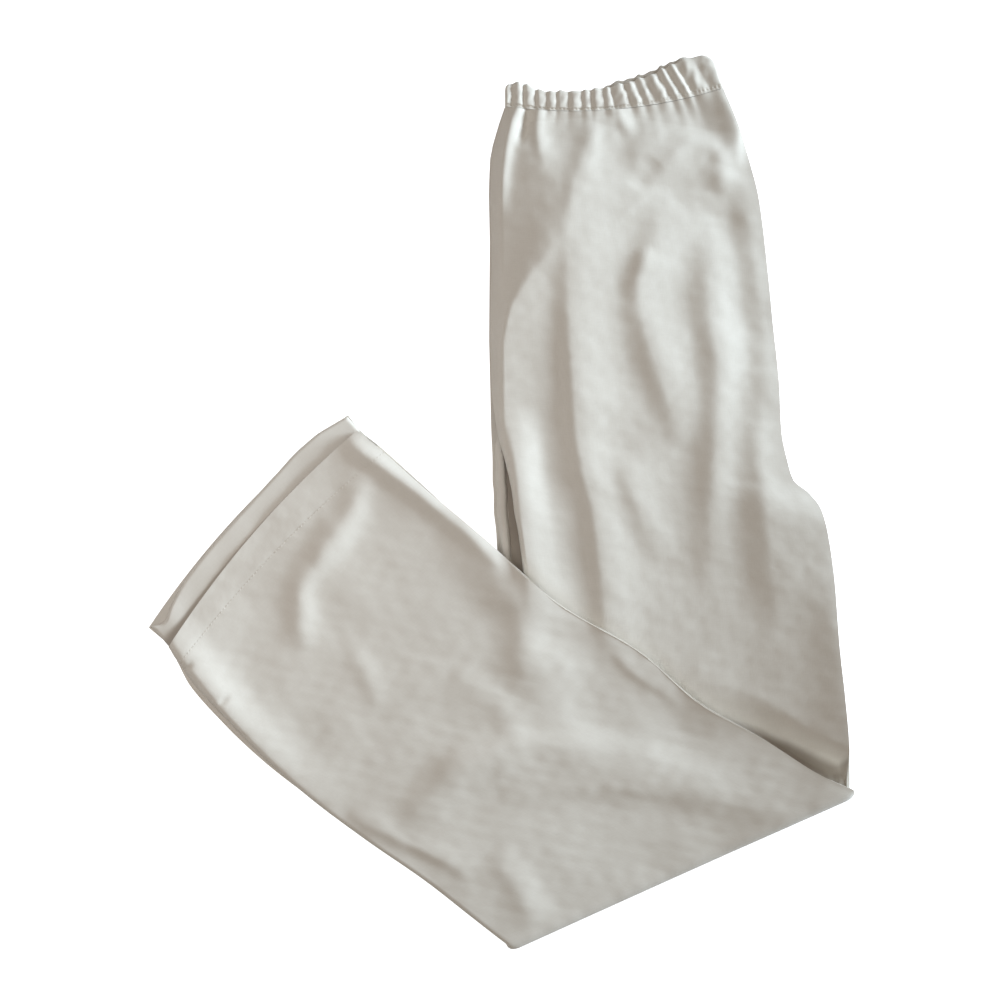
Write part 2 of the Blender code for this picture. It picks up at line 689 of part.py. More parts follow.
def make_waistband():
    backs_low = BAND_WALL + GAP
    front_low = backs_low + BAND_CORE + GAP
    plain = flat_shares(2 * CELLS_FLAT)
    fine = flat_shares(BACK_POINTS - 1)

    def flat(across):
        return BAND_WALL

    def pressed_pair(across):
        return BAND_CORE

    def gathered(across):
        return BAND_LOW + BAND_RISE * gathers(across * BAND_LENGTH)

    casing("waistband_left_front", plain, 0.0, flat, 0.0, LEFT_LOWER, LINEN_BACK)
    casing("waistband_backs", fine, backs_low, pressed_pair, BACK_SCALLOP, 1.0, LINEN_BACK)
    casing("waistband_right_front", gather_shares(), front_low, gathered, FRONT_SCALLOP, 0.0, LINEN_BAND)


def main():
    for obj in list(bpy.data.objects):
        bpy.data.objects.remove(obj, do_unlink=True)
    make_left_front()
    make_backs()
    make_right_front()
    make_right_hem()
    make_waistband()


main()
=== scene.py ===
"""Pull-on linen trousers, folded in half leg on leg and again at the knees, and laid flat on a table.

The two fronts are outside and the two backs between them. From the table up, the upper half is left
front, left back, right back, right front. At the knees the left front goes round the outside and becomes
the top of the lower half. Each panel is a thin cloth shell on the form of its solid, with the folds of
the real cloth laid one by one; the casing is gathered on its elastic and the hems are turned and stitched.

+X runs from the side seams to the centre seams, +Y from the knees to the waist, +Z up from the table.
Lengths are in millimetres until a mesh is made.
"""

import math
from collections import namedtuple

import bpy
import numpy as np
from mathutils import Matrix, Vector


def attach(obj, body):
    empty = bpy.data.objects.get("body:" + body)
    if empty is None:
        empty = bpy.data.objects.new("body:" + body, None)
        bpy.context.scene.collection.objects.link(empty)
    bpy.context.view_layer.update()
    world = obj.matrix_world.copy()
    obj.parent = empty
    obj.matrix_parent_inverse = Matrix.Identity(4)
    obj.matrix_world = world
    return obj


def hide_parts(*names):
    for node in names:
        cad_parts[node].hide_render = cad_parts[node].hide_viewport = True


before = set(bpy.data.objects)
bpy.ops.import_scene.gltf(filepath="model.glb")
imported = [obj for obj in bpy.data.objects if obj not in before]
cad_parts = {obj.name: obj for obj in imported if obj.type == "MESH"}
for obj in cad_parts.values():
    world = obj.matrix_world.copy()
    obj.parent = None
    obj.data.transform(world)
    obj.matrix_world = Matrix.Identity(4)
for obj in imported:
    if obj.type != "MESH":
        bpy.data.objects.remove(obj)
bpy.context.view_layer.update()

MM = 0.001
CENTRE = np.array([-1.2, -0.6, 0.0])  # where the solids' origin lies in the tables below

# Cloth and stack
WALL = 1.3  # room that a leg panel takes in the stack
CLOTH = 0.9  # thickness of one layer of linen
HEM_CLOTH = 1.5  # and of a turned hem
STACK = 6.6  # one half of the folded pair
GAP = 0.3  # air between two layers that lie loose
LEAST_HEIGHT = 0.1  # of a cloth's inner face over the table
LEFT_BACK_DEPTH, RIGHT_BACK_DEPTH = 1.8, 3.5  # faces of the back panels, from the left front's outer face

# Knee fold
FOLD_GAP = 0.7  # between the two halves
FOLD_REACH = 8.0  # from the start of the knee fold to its outermost line
FOLD_CORNER = 9.0  # radius of the fold's two corners, seen from above
FOLD_SQUARE = 0.3  # share of the reach that the corners keep
KNEE_INSET = 3.0  # of the inner panels' corners from the left front's

# Air in the upper half where nothing lies on it
PUFF = 5.0
PUFF_FROM, PUFF_OVER = 322.0, 60.0  # it begins below the casing
PUFF_BELOW = 0.35  # share of it that is left below the crotch
PUFF_SINKS_FROM, PUFF_SINKS_OVER = 20.0, 90.0  # where it sinks to that share
PUFF_INNER = 60.0  # its slope up from the centre seam
INSEAM_FROM, INSEAM_OVER = 10.0, 30.0  # from here down it goes on to the inseam without a slope
# Width of the slope up from the side seam at heights along y: short beside the thigh, long over the hip
SIDE_SLOPE = [
    (0, 16), (60, 10), (130, 11), (160, 19), (180, 32), (200, 49), (220, 54), (240, 58), (262, 57),
    (285, 40), (310, 26)]
SIDE_QUICK, SIDE_QUICK_OVER = 0.5, 11.0  # share of the rise that comes at once where the slope is long
SIDE_QUICK_WHOLE = 20.0  # a slope that is longer than that by so much has the whole share

# Edges, where a panel rolls over the ones below it
UPPER_ROLL, CENTRE_ROLL = 6.0, 1.4  # radii in the upper half, at the side seam and at the centre seam
SLID_ROLL = 2.5  # of the right front where it has slid in
LOWER_SIDE_ROLL, LOWER_INNER_ROLL = 3.0, 1.0  # in the lower half
OVERHANG = 0.7  # of a steep edge's top over its foot
DRAWN_OUT = 12.0  # distance over which the cloth beside a steep edge is drawn out to it
LEG_CREASE = 2.4  # depth of the groove between the two legs along the centre seams and inseams
CREASE_HEIGHT, CREASE_WIDTH = 0.5, 0.2  # its place and width, as shares of the edge's height
LOWER_INNER_LIP = 5.2  # height of the lower half's open edge over what it rests on
RIM = 0.6  # height of the foot of any other edge
LEAST_EDGE = 0.6  # share of the cloth's thickness that is left between an edge's foot and its top
WRAP_WHOLE, WRAP_NONE = 1.2, 3.7  # insets between which the right front lies on the backs
WRAP_LIFT = 3.0  # how high its loose edge stands there
CURL, CURL_OVER = 4.6, 4.5  # of the right front's edge where it comes out beside the left hem
CURL_OUT = 3.0  # how far it is out where it curls fully
PEEK_NONE, PEEK_WHOLE, PEEK_RISE = 4.5, 1.5, 1.7  # the left front's rim rises where a layer shows under it

# Back panels, between the fronts
BACK_INSET = 6.0  # from the left front's edges
BACK_START, BACK_END = 1.0, 16.0  # where they begin below the casing's stitches, and end before the left hem
SLID_FROM, SLID_OVER = 3.0, 6.0  # insets over which the right front counts as slid in off the edges below it
LEFT_BACK_OUT, RIGHT_BACK_IN = 3.0, 28.0  # how the backs' side edges lie there, from their common inset
BACK_TUCK = 3.4  # height of the left back's tuck where it shows
TUCK_RISE, TUCK_FALL = (3.5, 1.5), (9.0, 1.8)  # its slopes: distance from the leg's side edge, and width

# The lower legs leave the upper half at its side edge and come down to the table
BROW = 2.0  # how far beyond that edge they begin to fall
FALL = 50.0  # width of the fall of what they rest on
TOP_FALL, STEADY = 210.0, 0.6  # width of the fall of their top, and the share of it that is straight
PRESS_UNDER, PRESS_BESIDE = (34.0, 2.0), (14.0, 28.0)  # reach of the pressing: near the side, near the inseam
PRESS_FROM, PRESS_TO = 130.0, 230.0  # places across between which it changes
LOWER_SLOPE = math.radians(36)  # of the lower legs' inseam edge where it crosses the upper half

# Waistband casing
BAND_LENGTH = 180.0
BAND_IN = 0.4  # of its ends from the leg's edges
BAND_WALL, BAND_CORE, BAND_LOW = 2.3, 2.8, 1.5  # left front's, backs' and, without its gathers, right front's
BAND_FOOT = 0.36  # from the stitch line to where it begins
BAND_EDGE = 0.5  # thickness at its rim
BAND_CORNERS = 4.0, 9.0  # radii of its upper corners at the side seam and the centre seam
BAND_ENDS, BAND_END_SHARE = 2.2, 0.3  # its ends are rounded over this, down to this share of its thickness
# Its thickness from the foot to the top: shares up it, and shares of the whole
BAND_PROFILE = ([0, 0.06, 0.16, 0.4, 0.7, 0.9, 0.97, 1], [0.5, 0.62, 0.9, 1, 0.97, 0.84, 0.6, 0.2])
BAND_PAINTED_SHADE = 0.6  # how dark the painted shade on the back casing is where its rim shows
BAND_SHADE_FROM, BAND_SHADE_OVER = 0.8, 1.4  # heights of that rim over which the painted shade darkens it
CURL_FROM = 0.84  # share up the casing from which its rim curls
GATHER_RELIEF = 0.6  # of the casing's gathers that goes on into the leg
GATHER_FADE = 9.0  # and how soon it fades there

# Rows of stitches
STITCH_PITCH, STITCH_LENGTH, STITCH_THREAD = 3.3, 2.5, 0.5  # step, and one stitch's length and thickness
STITCH_ASKEW = 0.14  # radians that a stitch turns from its line at most
STITCH_TENSION = 0.88, 1.06  # sizes between which the stitches vary
STITCH_SEEDS = 7, 8  # for their turn and for their tension
STITCH_UP, STITCH_DIP_WIDTH = 0.085, 0.05  # place of the casing's row and width of its dip, as shares up it
STITCH_DIP, PUCKER = 0.6, 0.35  # how deep the cloth dips at that row, and how much more between the stitches
STITCH_ENDS = 0.012  # share of the casing that is left without stitches at each end
CASING_LINE_POINTS = 400
CASING_THREAD_UP, HEM_THREAD_UP = 0.12, 0.1  # of the thread's middle over the cloth

# Hems
HEM_DEPTH = 22.0  # from the left hem's stitches to its edge
HEM_STEP, HEM_DIP, HEM_PUCKER = 0.05, 0.09, 0.03  # heights of its step, the dip at its stitches, its puckers
# Distances over which the step, the dip and the puckers come, and the cloth grows thick
HEM_STEP_OVER, HEM_DIP_OVER, HEM_PUCKER_OVER, HEM_THICKENS_OVER = 1.6, 1.3, 6.0, 6.0
STRIP_TUCK = 9.0  # how far the right hem's turned strip goes in under the left leg
STRIP_SIDE_IN, STRIP_INNER_IN = 2.0, 1.2  # of its ends from the leg's edges
STRIP_THICK, STRIP_LIP = 3.3, 0.5  # its thickness, and that at its rim
STRIP_ROLL, STRIP_FINE = 3.0, 4.0  # radius of its edges, and how far in its columns lie close together
STRIP_WAVE = 0.25  # height of its unevenness along the hem
STRIP_AIR = 0.5  # between it and the left leg
STRIP_OPEN = 1.2  # more air at the hem's two ends
OPEN_SIDE = 0.22  # share of the hem over which that closes, from the side seam
OPEN_INNER, OPEN_INNER_FROM, OPEN_INNER_OVER = 0.6, 0.82, 0.15  # share of it at the inseam, and where
CORNER_RISE, CORNER_PLACE, CORNER_WIDTH = 1.0, 0.07, 0.06  # of the strip's corner by the side seam
# How far the right hem's turned strip lies in from the edge below it, at shares across from the side seam
HEM_PULL = [
    (0, 1.0), (0.05, 7.6), (0.1, 4.6), (0.16, 2.4), (0.22, 1.2), (0.5, 0.8), (0.68, -1.0), (0.8, -3.4),
    (0.87, -3.6), (0.94, -1.6), (1, 0.6)]
HEM_PAINTED_SHADE = 0.75  # how dark the painted shadow is on the strip where it goes in under the left leg's edge
HEM_SHADE, HEM_CORNER_SHADE, HEM_CORNER = 1.8, 5.0, 0.1  # how far out that painted shadow reaches, and more at the side seam's corner

# Cross lines of a leg from its side seam to its centre seam or inseam. bow bends the middle of the line on
# towards the hem, and side_in and inner_in say how far the right front's edges lie inside the left front's.
CrossLine = namedtuple("CrossLine", "side_x side_y inner_x inner_y bow side_in inner_in")

UPPER_LINES = [
    CrossLine(3, 323, 183, 338, 10, 0.4, 0.4),  # stitch line of the casing
    CrossLine(-3, 305, 196, 305, 5, 0.6, 0.4),
    CrossLine(-9, 279, 204, 279, 3, 0.8, 0.3),
    CrossLine(-10, 246, 212, 246, 0, 1, 0.3),
    CrossLine(-9, 197, 218, 197, 0, 1, 0.3),
    CrossLine(-10, 148, 223, 148, 0, 1, 0.3),
    CrossLine(-9, 98, 228, 98, 0, 1, 0.3),
    CrossLine(-8, 56, 230, 56, 0, 5, 0.3),
    CrossLine(-7, 31, 235, 31, 0, 10.5, 0.3),  # the crotch begins to spread
    CrossLine(-7, 16, 240, 16, 0, 14, 0.3),
    CrossLine(-6, 6, 252, 6, 0, 15, 0.3),
    CrossLine(-6, -7, 262, -7, 0, 16.5, 0.5),  # crotch point
    CrossLine(-4, -26, 268, -28, 0, 18, 0.8),
    CrossLine(-2, -66, 273, -62, 0, 20.5, 1),
    CrossLine(0, -131, 279, -123, 0, 10, 2.6),
    CrossLine(2, -213, 284, -168, 0, 4, 3),
    CrossLine(3, -295, 287, -207, 0, 2, 3),
    CrossLine(4, -364, 287, -236, 0, 3, 3),  # the knee fold begins
]

LOWER_LINES = [
    CrossLine(4, -364, 287, -236, 0, 3, 3),
    CrossLine(-25, -342, 262, -225, 0, 4, 4),
    CrossLine(-64, -312, 214, -195, 0, 5, 5),
    CrossLine(-112, -279, 163, -166, 0, 4, 5),
    CrossLine(-156, -246, 114, -124, 0, 1, 5),
    CrossLine(-193, -214, 48, -85, 1, -2, 5),
    CrossLine(-224, -182, -12, -33, 3, -4, 3),
    CrossLine(-253, -151, -70, 16, 6, -3, -1),
    CrossLine(-267, -131, -103, 45, 8, 0, -1.5),
    CrossLine(-273, -121, -118, 57, 9, 0.5, -1.5),  # hem of the left leg
    CrossLine(-290, -105, -126, 70, 10, 0, 0),  # hem of the right leg
]
LEFT_HEM_LINE = 9

# A fold of the cloth: a soft ridge, or a trough where its height is below 0. left and right are its half
# widths on either hand, looking along it from its first point. Each point of its spine is x, y, height.
Fold = namedtuple("Fold", "left right spine")

# The body of the right front: level from the side to a crest, then a long fall to the centre seam
UPPER_BODY = {
    "front": Fold(900, 112, [
        (78, -60, 0), (72, 0, 2.2), (64, 60, 3.8), (58, 110, 5), (55, 160, 5.8), (52, 205, 6.2),
        (50, 245, 6.2), (48, 285, 4.4), (46, 312, 0)]),
    "shoulder": Fold(900, 42, [
        (60, 100, 0), (58, 130, 1.4), (56, 165, 2.8), (55, 205, 3.6), (55, 240, 3.6), (57, 270, 2),
        (60, 295, 0)]),
}

UPPER_FOLDS = {
    "main": Fold(10, 25, [
        (89, -150, 1), (87, -115, 2), (85, -82, 3), (81, -49, 3.8), (76, -8, 4), (67, 25, 4), (61, 66, 4.2),
        (58, 115, 4.4), (56, 150, 3.6), (55, 178, 2), (56, 213, 1.2), (60, 254, 2), (71, 287, 2),
        (78, 310, 0)]),
    "hip": Fold(16, 11, [
        (8, 168, 0), (22, 186, 1), (36, 203, 1.8), (44, 219, 1.6), (51, 238, 1.2), (54, 262, 0)]),
    "side": Fold(9, 24, [
        (26, -100, 3.6), (22, -61, 5.2), (17, -20, 6), (13, 25, 5.8), (8, 54, 2.6), (5, 74, 0)]),
    "thigh hollow": Fold(12, 14, [
        (33, 84, 0), (34, 60, -1.5), (36, 30, -1.8), (39, 0, -1.2), (43, -25, 0)]),
    "side panel": Fold(7, 28, [
        (3, 46, 0), (2, 64, 1.4), (2, 100, 1.6), (3, 136, 1.6), (10, 160, 1.4), (20, 176, 1),
        (30, 188, 0)]),
    "inner": Fold(14, 19, [
        (173, -90, 0), (173, -49, 1.4), (173, -20, 2.4), (174, 0, 3.4), (174, 20, 4.1), (178, 60, 3.9),
        (179, 90, 3.5), (177, 125, 3.4), (173, 145, 3.1), (171, 165, 3), (172, 185, 2.5), (173, 205, 1.8),
        (172, 224, 0)]),
    "crotch": Fold(20, 84, [
        (238, -110, 0), (230, -88, 2), (224, -60, 4), (220, -20, 6), (218, 10, 6.8), (215, 30, 7),
        (214, 52, 6.4), (214, 74, 4.6), (215, 96, 2), (216, 110, 0)]),
    "edge": Fold(13, 24, [
        (220, 64, 0), (221, 82, 1.6), (219, 100, 2.4), (216, 140, 2.4), (213, 165, 2.8), (208, 205, 3),
        (201, 240, 2.4), (197, 262, 1.4), (194, 280, 0)]),
    "edge top": Fold(13, 7, [
        (192, 268, 0), (192, 284, 2.2), (193, 300, 4), (188, 318, 4), (178, 335, 1.6)]),
    "centre": Fold(13, 22, [
        (152, 42, 0), (146, 60, 1.8), (138, 80, 2.6), (131, 100, 3.2), (124, 120, 3.6), (117, 144, 3.6),
        (113, 162, 3.8), (118, 188, 3.8), (124, 208, 2.6), (134, 228, 1.4), (146, 244, 0)]),
    "centre nick": Fold(6, 8, [(102, 164, 0), (109, 179, 0.9), (115, 195, 1), (118, 209, 0)]),
    "thigh": Fold(10, 14, [(137, -49, 0), (124, -29, 1.4), (112, -4, 1.8), (104, 20, 1.4), (99, 41, 0)]),
    "arc end": Fold(15, 12, [(178, 232, 0), (180, 246, 1.6), (181, 260, 1.8), (184, 274, 0)]),
    "arc": Fold(8, 9, [
        (130, 272, 0), (142, 283, 1.2), (158, 291, 1.6), (171, 289, 1.8), (179, 280, 1.8), (181, 266, 1.2),
        (177, 252, 0)]),
    "small hollow": Fold(8, 8, [(108, 254, 0), (114, 263, -1.2), (121, 270, -1.2), (128, 277, 0)]),
    "side tuck": Fold(4.5, 6, [
        (-1, 230, 0), (0, 246, 1.2), (1, 262, 2.4), (3, 283, 3.2), (8, 308, 3.4), (14, 325, 2.4)]),
    "side nick": Fold(3, 3, [(14, 290, 0), (17, 298, -2), (20, 309, -2.6), (22, 322, -1.8)]),
    "second tuck": Fold(5, 7, [(38, 272, 0), (32, 288, 1.4), (30, 302, 2.2), (30, 323, 2)]),
    "third tuck": Fold(14, 8, [(68, 262, 0), (70, 278, 0.8), (74, 293, 1.6), (75, 312, 2), (74, 325, 1.6)]),
    "fourth tuck": Fold(7, 7, [(94, 284, 0), (91, 298, 0.9), (88, 312, 1.4), (86, 323, 1.4)]),
    "fifth tuck": Fold(6, 6, [(107, 295, 0), (101, 307, 1.8), (96, 318, 2.4), (93, 325, 1.4)]),
    "yoke": Fold(8, 10, [(114, 305, 0), (130, 307, 1.2), (147, 308, 1.2), (163, 310, 0)]),
    "inseam": Fold(112, 12, [
        (318, -215, 12.4), (316, -168, 13), (312, -123, 11.8), (306, -80, 8.6), (298, -40, 5.4),
        (290, -14, 3), (284, 10, 0)]),
    "inseam edge": Fold(24, 8, [
        (290, -215, 3), (285, -168, 3.6), (279, -123, 3.4), (273, -75, 2.4), (268, -45, 1), (264, -20, 0)]),
    "upper hollow": Fold(52, 18, [
        (186, 200, 0), (184, 222, -2), (179, 240, -2.4), (163, 256, -2.2), (152, 272, -1.2),
        (140, 284, 0)]),
    "yoke slope": Fold(14, 60, [
        (112, 260, 0), (114, 274, 1.4), (116, 288, 2.4), (118, 300, 2), (120, 312, 0)]),
}

LOWER_FOLDS = {
    "hem": Fold(11, 12, [
        (-157, -123, 0), (-165, -102, 2.6), (-165, -74, 3.4), (-152, -51, 3.8), (-137, -33, 4.2),
        (-124, -12, 3.4), (-117, 8, 2.2), (-112, 25, 0)]),
    "hem side": Fold(9, 12, [(-160, -48, 0), (-150, -38, 1.2), (-143, -22, 1.4), (-138, -6, 0)]),
    "inseam": Fold(9, 7, [
        (-128, 54, 0), (-119, 43, 3.2), (-104, 32, 4), (-88, 20, 4.2), (-70, 7, 4), (-54, -6, 3.6),
        (-38, -19, 3), (-20, -34, 2.4), (-4, -50, 1.6), (10, -64, 0)]),
    "brow top": Fold(14, 18, [(-36, -14, 0), (-22, -36, 2.2), (-10, -56, 3), (0, -76, 2.4), (6, -94, 0)]),
    "brow": Fold(16, 20, [
        (10, -160, 0), (15, -146, 1.8), (18, -130, 3.8), (19, -105, 4.2), (16, -85, 3.8), (12, -68, 2.6),
        (6, -54, 1)]),
    "brow low": Fold(14, 13, [
        (13, -206, 0), (11, -193, 1), (6, -178, 1.4), (-8, -162, 1.4), (-25, -152, 1.2), (-44, -143, 0)]),
    "shin front": Fold(26, 18, [
        (58, -205, 0), (52, -185, 1), (46, -160, 1.3), (44, -135, 1.6), (42, -112, 0)]),
    "long": Fold(20, 12, [
        (-1, -246, 0), (24, -239, 1.3), (57, -235, 1.8), (89, -234, 2.1), (130, -237, 2.2),
        (165, -242, 1.8), (200, -250, 1.4), (228, -258, 1), (247, -264, 0)]),
    "knee arc": Fold(14, 22, [
        (-80, -274, 0), (-68, -254, 2.6), (-52, -236, 3.6), (-32, -218, 4.4), (-6, -208, 4.4),
        (25, -203, 3.6), (62, -204, 2.8), (110, -212, 2), (160, -224, 1.2), (200, -236, 0)]),
    "shin": Fold(12, 6, [
        (-126, -256, 0), (-108, -266, 1.2), (-84, -277, 1.8), (-58, -289, 1.8), (-36, -301, 1),
        (-20, -310, 0)]),
    "corner": Fold(14, 16, [(26, -352, 0), (22, -334, 2), (15, -316, 2.6), (2, -300, 1.8), (-10, -288, 0)]),
    "calf": Fold(9, 10, [
        (-97, -174, 0), (-104, -157, 0.9), (-112, -141, 1), (-120, -127, 0.7), (-127, -115, 0)]),
    "side seam": Fold(7, 18, [
        (-130, -262, 0), (-160, -236, 1.6), (-190, -210, 3.2), (-218, -182, 5), (-243, -152, 6),
        (-258, -133, 5.6), (-268, -118, 4)]),
    "knee corner": Fold(104, 12, [(290, -330, 8), (296, -290, 10.4), (304, -250, 12), (310, -215, 12)]),
    "side pucker": Fold(2.2, 2.2, [(-263, -142, -0.6), (-258, -138, -1.6), (-252, -133, 0)]),
    "second side pucker": Fold(2.2, 2.4, [(-233, -169, -0.4), (-228, -165, -1.2), (-222, -160, 0)]),
    "lip": Fold(9, 4, [
        (90, -122, 0), (102, -136, 0.8), (117, -148, 0.9), (131, -156, 0.7), (148, -168, 0)]),
}
SPINE_STEPS = 6  # between two points of a spine
FULLNESS = 1.15  # by which every fold is raised

# Soft random dents: their heights, the shortest and the longest of each kind, and a seed for each place
BROAD_DENTS, BROAD_LENGTHS = 0.36, (42, 95)
SMALL_DENTS, SMALL_LENGTHS = 0.09, (9, 24)
BAND_LUMPS, LUMP_LENGTHS = 0.22, (6, 15)  # on the casing's gathers
PUCKER_LENGTHS = 5, 13  # on the left hem
UPPER_SEED, LOWER_SEED, HEM_SEED, BAND_SEED = 11, 23, 41, 5

# The opening beside the right front where it has slid in, where the back panels' colour is darkened as
# painted shade: y, and x of its left and right side
WEDGE = [
    (-80, 11, 26), (-57, 10, 24), (-49, 7.5, 22), (-33, 6.6, 20), (0, 4.2, 16), (25, 2.8, 12), (36, 1, 7),
    (48, -1, 1)]
WEDGE_EDGE = 1.2  # width of its soft edge

# The opening between the two halves by the knee corner, sunk and darkened in the right front's colour as
# painted shade: x, and its width from the lower legs' inseam edge
POCKET = [
    (170, 0), (195, 4), (222, 8), (237, 12), (250, 14), (264, 15), (276, 15), (284, 24), (290, 30)]
POCKET_EDGE, POCKET_NARROW = 8.0, 6.0  # width of its soft edge, and the width under which it fades
# the pit's depth, how soon it sinks, and how dark its painted shade is
POCKET_DEPTH, POCKET_SINKS_OVER, POCKET_PAINTED_SHADE = 2.4, 3.0, 0.9

# The gathers along the casing, from the side seam: where each one's valley lies, how high its crest stands,
# the crest's place between this valley and the next, and how far the top edge drops at the crest
Gather = namedtuple("Gather", "valley crest place drop")
GATHERS = [
    Gather(-6, 1.4, 0.6, 0.0),
    Gather(5.5, 2.2, 0.55, -0.6),
    Gather(15, 1.7, 0.40, 0.3),
    Gather(25, 1.3, 0.35, -0.4),
    Gather(34, 1.6, 0.45, 0.5),
    Gather(42, 1.2, 0.35, -0.3),
    Gather(52, 1.5, 0.40, 0.6),
    Gather(63, 1.1, 0.45, 0.0),
    Gather(71, 1.4, 0.35, -0.5),
    Gather(82, 1.2, 0.55, 0.4),
    Gather(90, 1.6, 0.60, -0.3),
    Gather(104, 1.7, 0.50, 0.5),
    Gather(115, 1.3, 0.48, -0.4),
    Gather(125, 1.9, 0.55, 0.3),
    Gather(138, 1.6, 0.50, -0.6),
    Gather(147, 1.9, 0.58, 0.4),
    Gather(156, 1.5, 0.45, -0.5),
    Gather(170, 1.1, 0.55, 0.4),
    Gather(184, 0.8, 0.50, 0.0),
    Gather(198, 0.8, 0.50, 0.0),
]
GATHER_BROAD, GATHER_NARROW = 0.5, 0.8  # crests are broad near the side seam and narrow near the centre seam
GATHER_CHANGE_FROM, GATHER_CHANGE_OVER = 84.0, 30.0  # where that changes, along the casing
GATHER_SCALLOP = 1.2  # drop of the top edge in a valley

# Height of the casing from its stitch line, its lean towards the centre seam, the rise of the back casing
# above the front one, how high that rim curls up, and the slant of the gathers
BandLine = namedtuple("BandLine", "along height lean back_rise curl slant")
BAND_LINES = [
    BandLine(0, 17, 1, 0.6, 0, -1),
    BandLine(10, 21, 1, 0.8, 0, -1),
    BandLine(20, 21, -1, 0.8, 0, -2),
    BandLine(32, 17, -2, 0.4, 0, -3),
    BandLine(78, 18, -2, 0.6, 0.2, -2),
    BandLine(96, 20.5, -3, 2.6, 1.2, 1),
    BandLine(130, 25, -7, 2.8, 1.4, 4),
    BandLine(152, 30, -9, 2.2, 1.2, 5),
    BandLine(166, 31, -8, 0.8, 0.2, 5),
    BandLine(180, 29, -5, 0.4, 0, 4),
]
BAND_TABLE = np.array(BAND_LINES, float)


# Curves through tables


def cubic(knots, values, at):
    """A curve through the values at the knots that never overshoots them, read at each place."""
    knots = np.asarray(knots, float)
    values = np.asarray(values, float)
    slope = np.diff(values) / np.diff(knots)
    tangent = np.concatenate([slope[:1], np.zeros(len(knots) - 2), slope[-1:]])
    same_way = slope[:-1] * slope[1:] > 0
    mean = 2 * slope[:-1] * slope[1:] / np.where(same_way, slope[:-1] + slope[1:], 1)
    tangent[1:-1] = np.where(same_way, mean, 0)
    place = np.clip(np.searchsorted(knots, at, side="right") - 1, 0, len(knots) - 2)
    length = np.diff(knots)[place]
    u = (at - knots[place]) / length
    start, end = values[place], values[place + 1]
    inside = (
        start * (1 + 2 * u) * (1 - u) ** 2
        + end * u * u * (3 - 2 * u)
        + length * tangent[place] * u * (1 - u) ** 2
        - length * tangent[place + 1] * u * u * (1 - u)
    )
    before = values[0] + (at - knots[0]) * tangent[0]
    after = values[-1] + (at - knots[-1]) * tangent[-1]
    return np.where(at < knots[0], before, np.where(at > knots[-1], after, inside))


def smoothstep(x):
    x = np.clip(x, 0, 1)
    return x * x * (3 - 2 * x)


def quarter_round(distance, radius):
    """0 at an edge and 1 from the radius inwards, along a quarter of a circle."""
    part = np.clip(distance / radius, 0, 1)
    return np.sqrt(np.maximum(1 - (1 - part) ** 2, 0))


class Leg:
    """A leg laid flat: cross lines from one end to the other, read at distances along its middle.

    turn is 1 where the way along lies clockwise of the way across, seen from above, and -1 where it
    lies the other way.
    """

    def __init__(self, lines, turn):
        self.turn = turn
        self.table = np.array(lines, float)
        middle = (self.table[:, 0:2] + self.table[:, 2:4]) / 2
        steps = np.linalg.norm(np.diff(middle, axis=0), axis=1)
        self.knots = np.concatenate([[0], np.cumsum(steps)])
        self.length = self.knots[-1]

    def read(self, along):
        """The cross line at each distance along, as columns that rows of points can be worked out from."""
        return CrossLine(*[cubic(self.knots, column, along)[:, None] for column in self.table.T])

    def width(self, along):
        line = self.read(along)
        return np.hypot(line.inner_x - line.side_x, line.inner_y - line.side_y)

    def plan(self, along, across, side_in=0.0, inner_in=0.0):
        """x and y at rows along and shares across from the side, 0, to the middle, 1."""
        line = self.read(along)
        width = self.width(along)
        way_x = (line.inner_x - line.side_x) / width
        way_y = (line.inner_y - line.side_y) / width
        reach = side_in + across * (width - side_in - inner_in)
        share = reach / width
        bend = line.bow * 4 * share * (1 - share) * self.turn
        return line.side_x + reach * way_x + bend * way_y, line.side_y + reach * way_y - bend * way_x


UPPER = Leg(UPPER_LINES, turn=1)
LOWER = Leg(LOWER_LINES, turn=-1)
LEFT_END = LOWER.knots[LEFT_HEM_LINE]


# Relief


def fold_height(fold, x, y):
    points = np.array(fold.spine, float)
    knots = np.arange(len(points))
    at = np.linspace(0, len(points) - 1, (len(points) - 1) * SPINE_STEPS + 1)
    spine = np.stack([cubic(knots, column, at) for column in points.T], axis=1)
    best = np.full(x.shape, np.inf)
    side = np.zeros(x.shape)
    height = np.zeros(x.shape)
    for (ax, ay, a_height), (bx, by, b_height) in zip(spine, spine[1:]):
        dx, dy = bx - ax, by - ay
        u = np.clip(((x - ax) * dx + (y - ay) * dy) / (dx * dx + dy * dy), 0, 1)
        away_x, away_y = x - ax - u * dx, y - ay - u * dy
        distance = np.hypot(away_x, away_y)
        nearer = distance < best
        best = np.where(nearer, distance, best)
        side = np.where(nearer, dx * away_y - dy * away_x, side)
        height = np.where(nearer, a_height + u * (b_height - a_height), height)
    width = np.where(side > 0, fold.left, fold.right)
    return height * np.exp(-((best / width) ** 2))


def relief(folds, x, y):
    return FULLNESS * sum(fold_height(fold, x, y) for fold in folds.values())


def dents(x, y, shortest, longest, seed, waves=30):
    """Soft random dents, nearly all less than 1.5 high or low, from many waves across each other."""
    rng = np.random.default_rng(seed)
    total = np.zeros(np.broadcast(x, y).shape)
    for _ in range(waves):
        angle, phase = rng.uniform(0, 2 * math.pi, 2)
        way = (x * math.cos(angle) + y * math.sin(angle)) / rng.uniform(shortest, longest)
        total = total + np.cos(2 * math.pi * way + phase)
    return total / math.sqrt(waves)


def unevenness(x, y, seed):
    broad = BROAD_DENTS * dents(x, y, *BROAD_LENGTHS, seed)
    return broad + SMALL_DENTS * dents(x, y, *SMALL_LENGTHS, seed + 1)


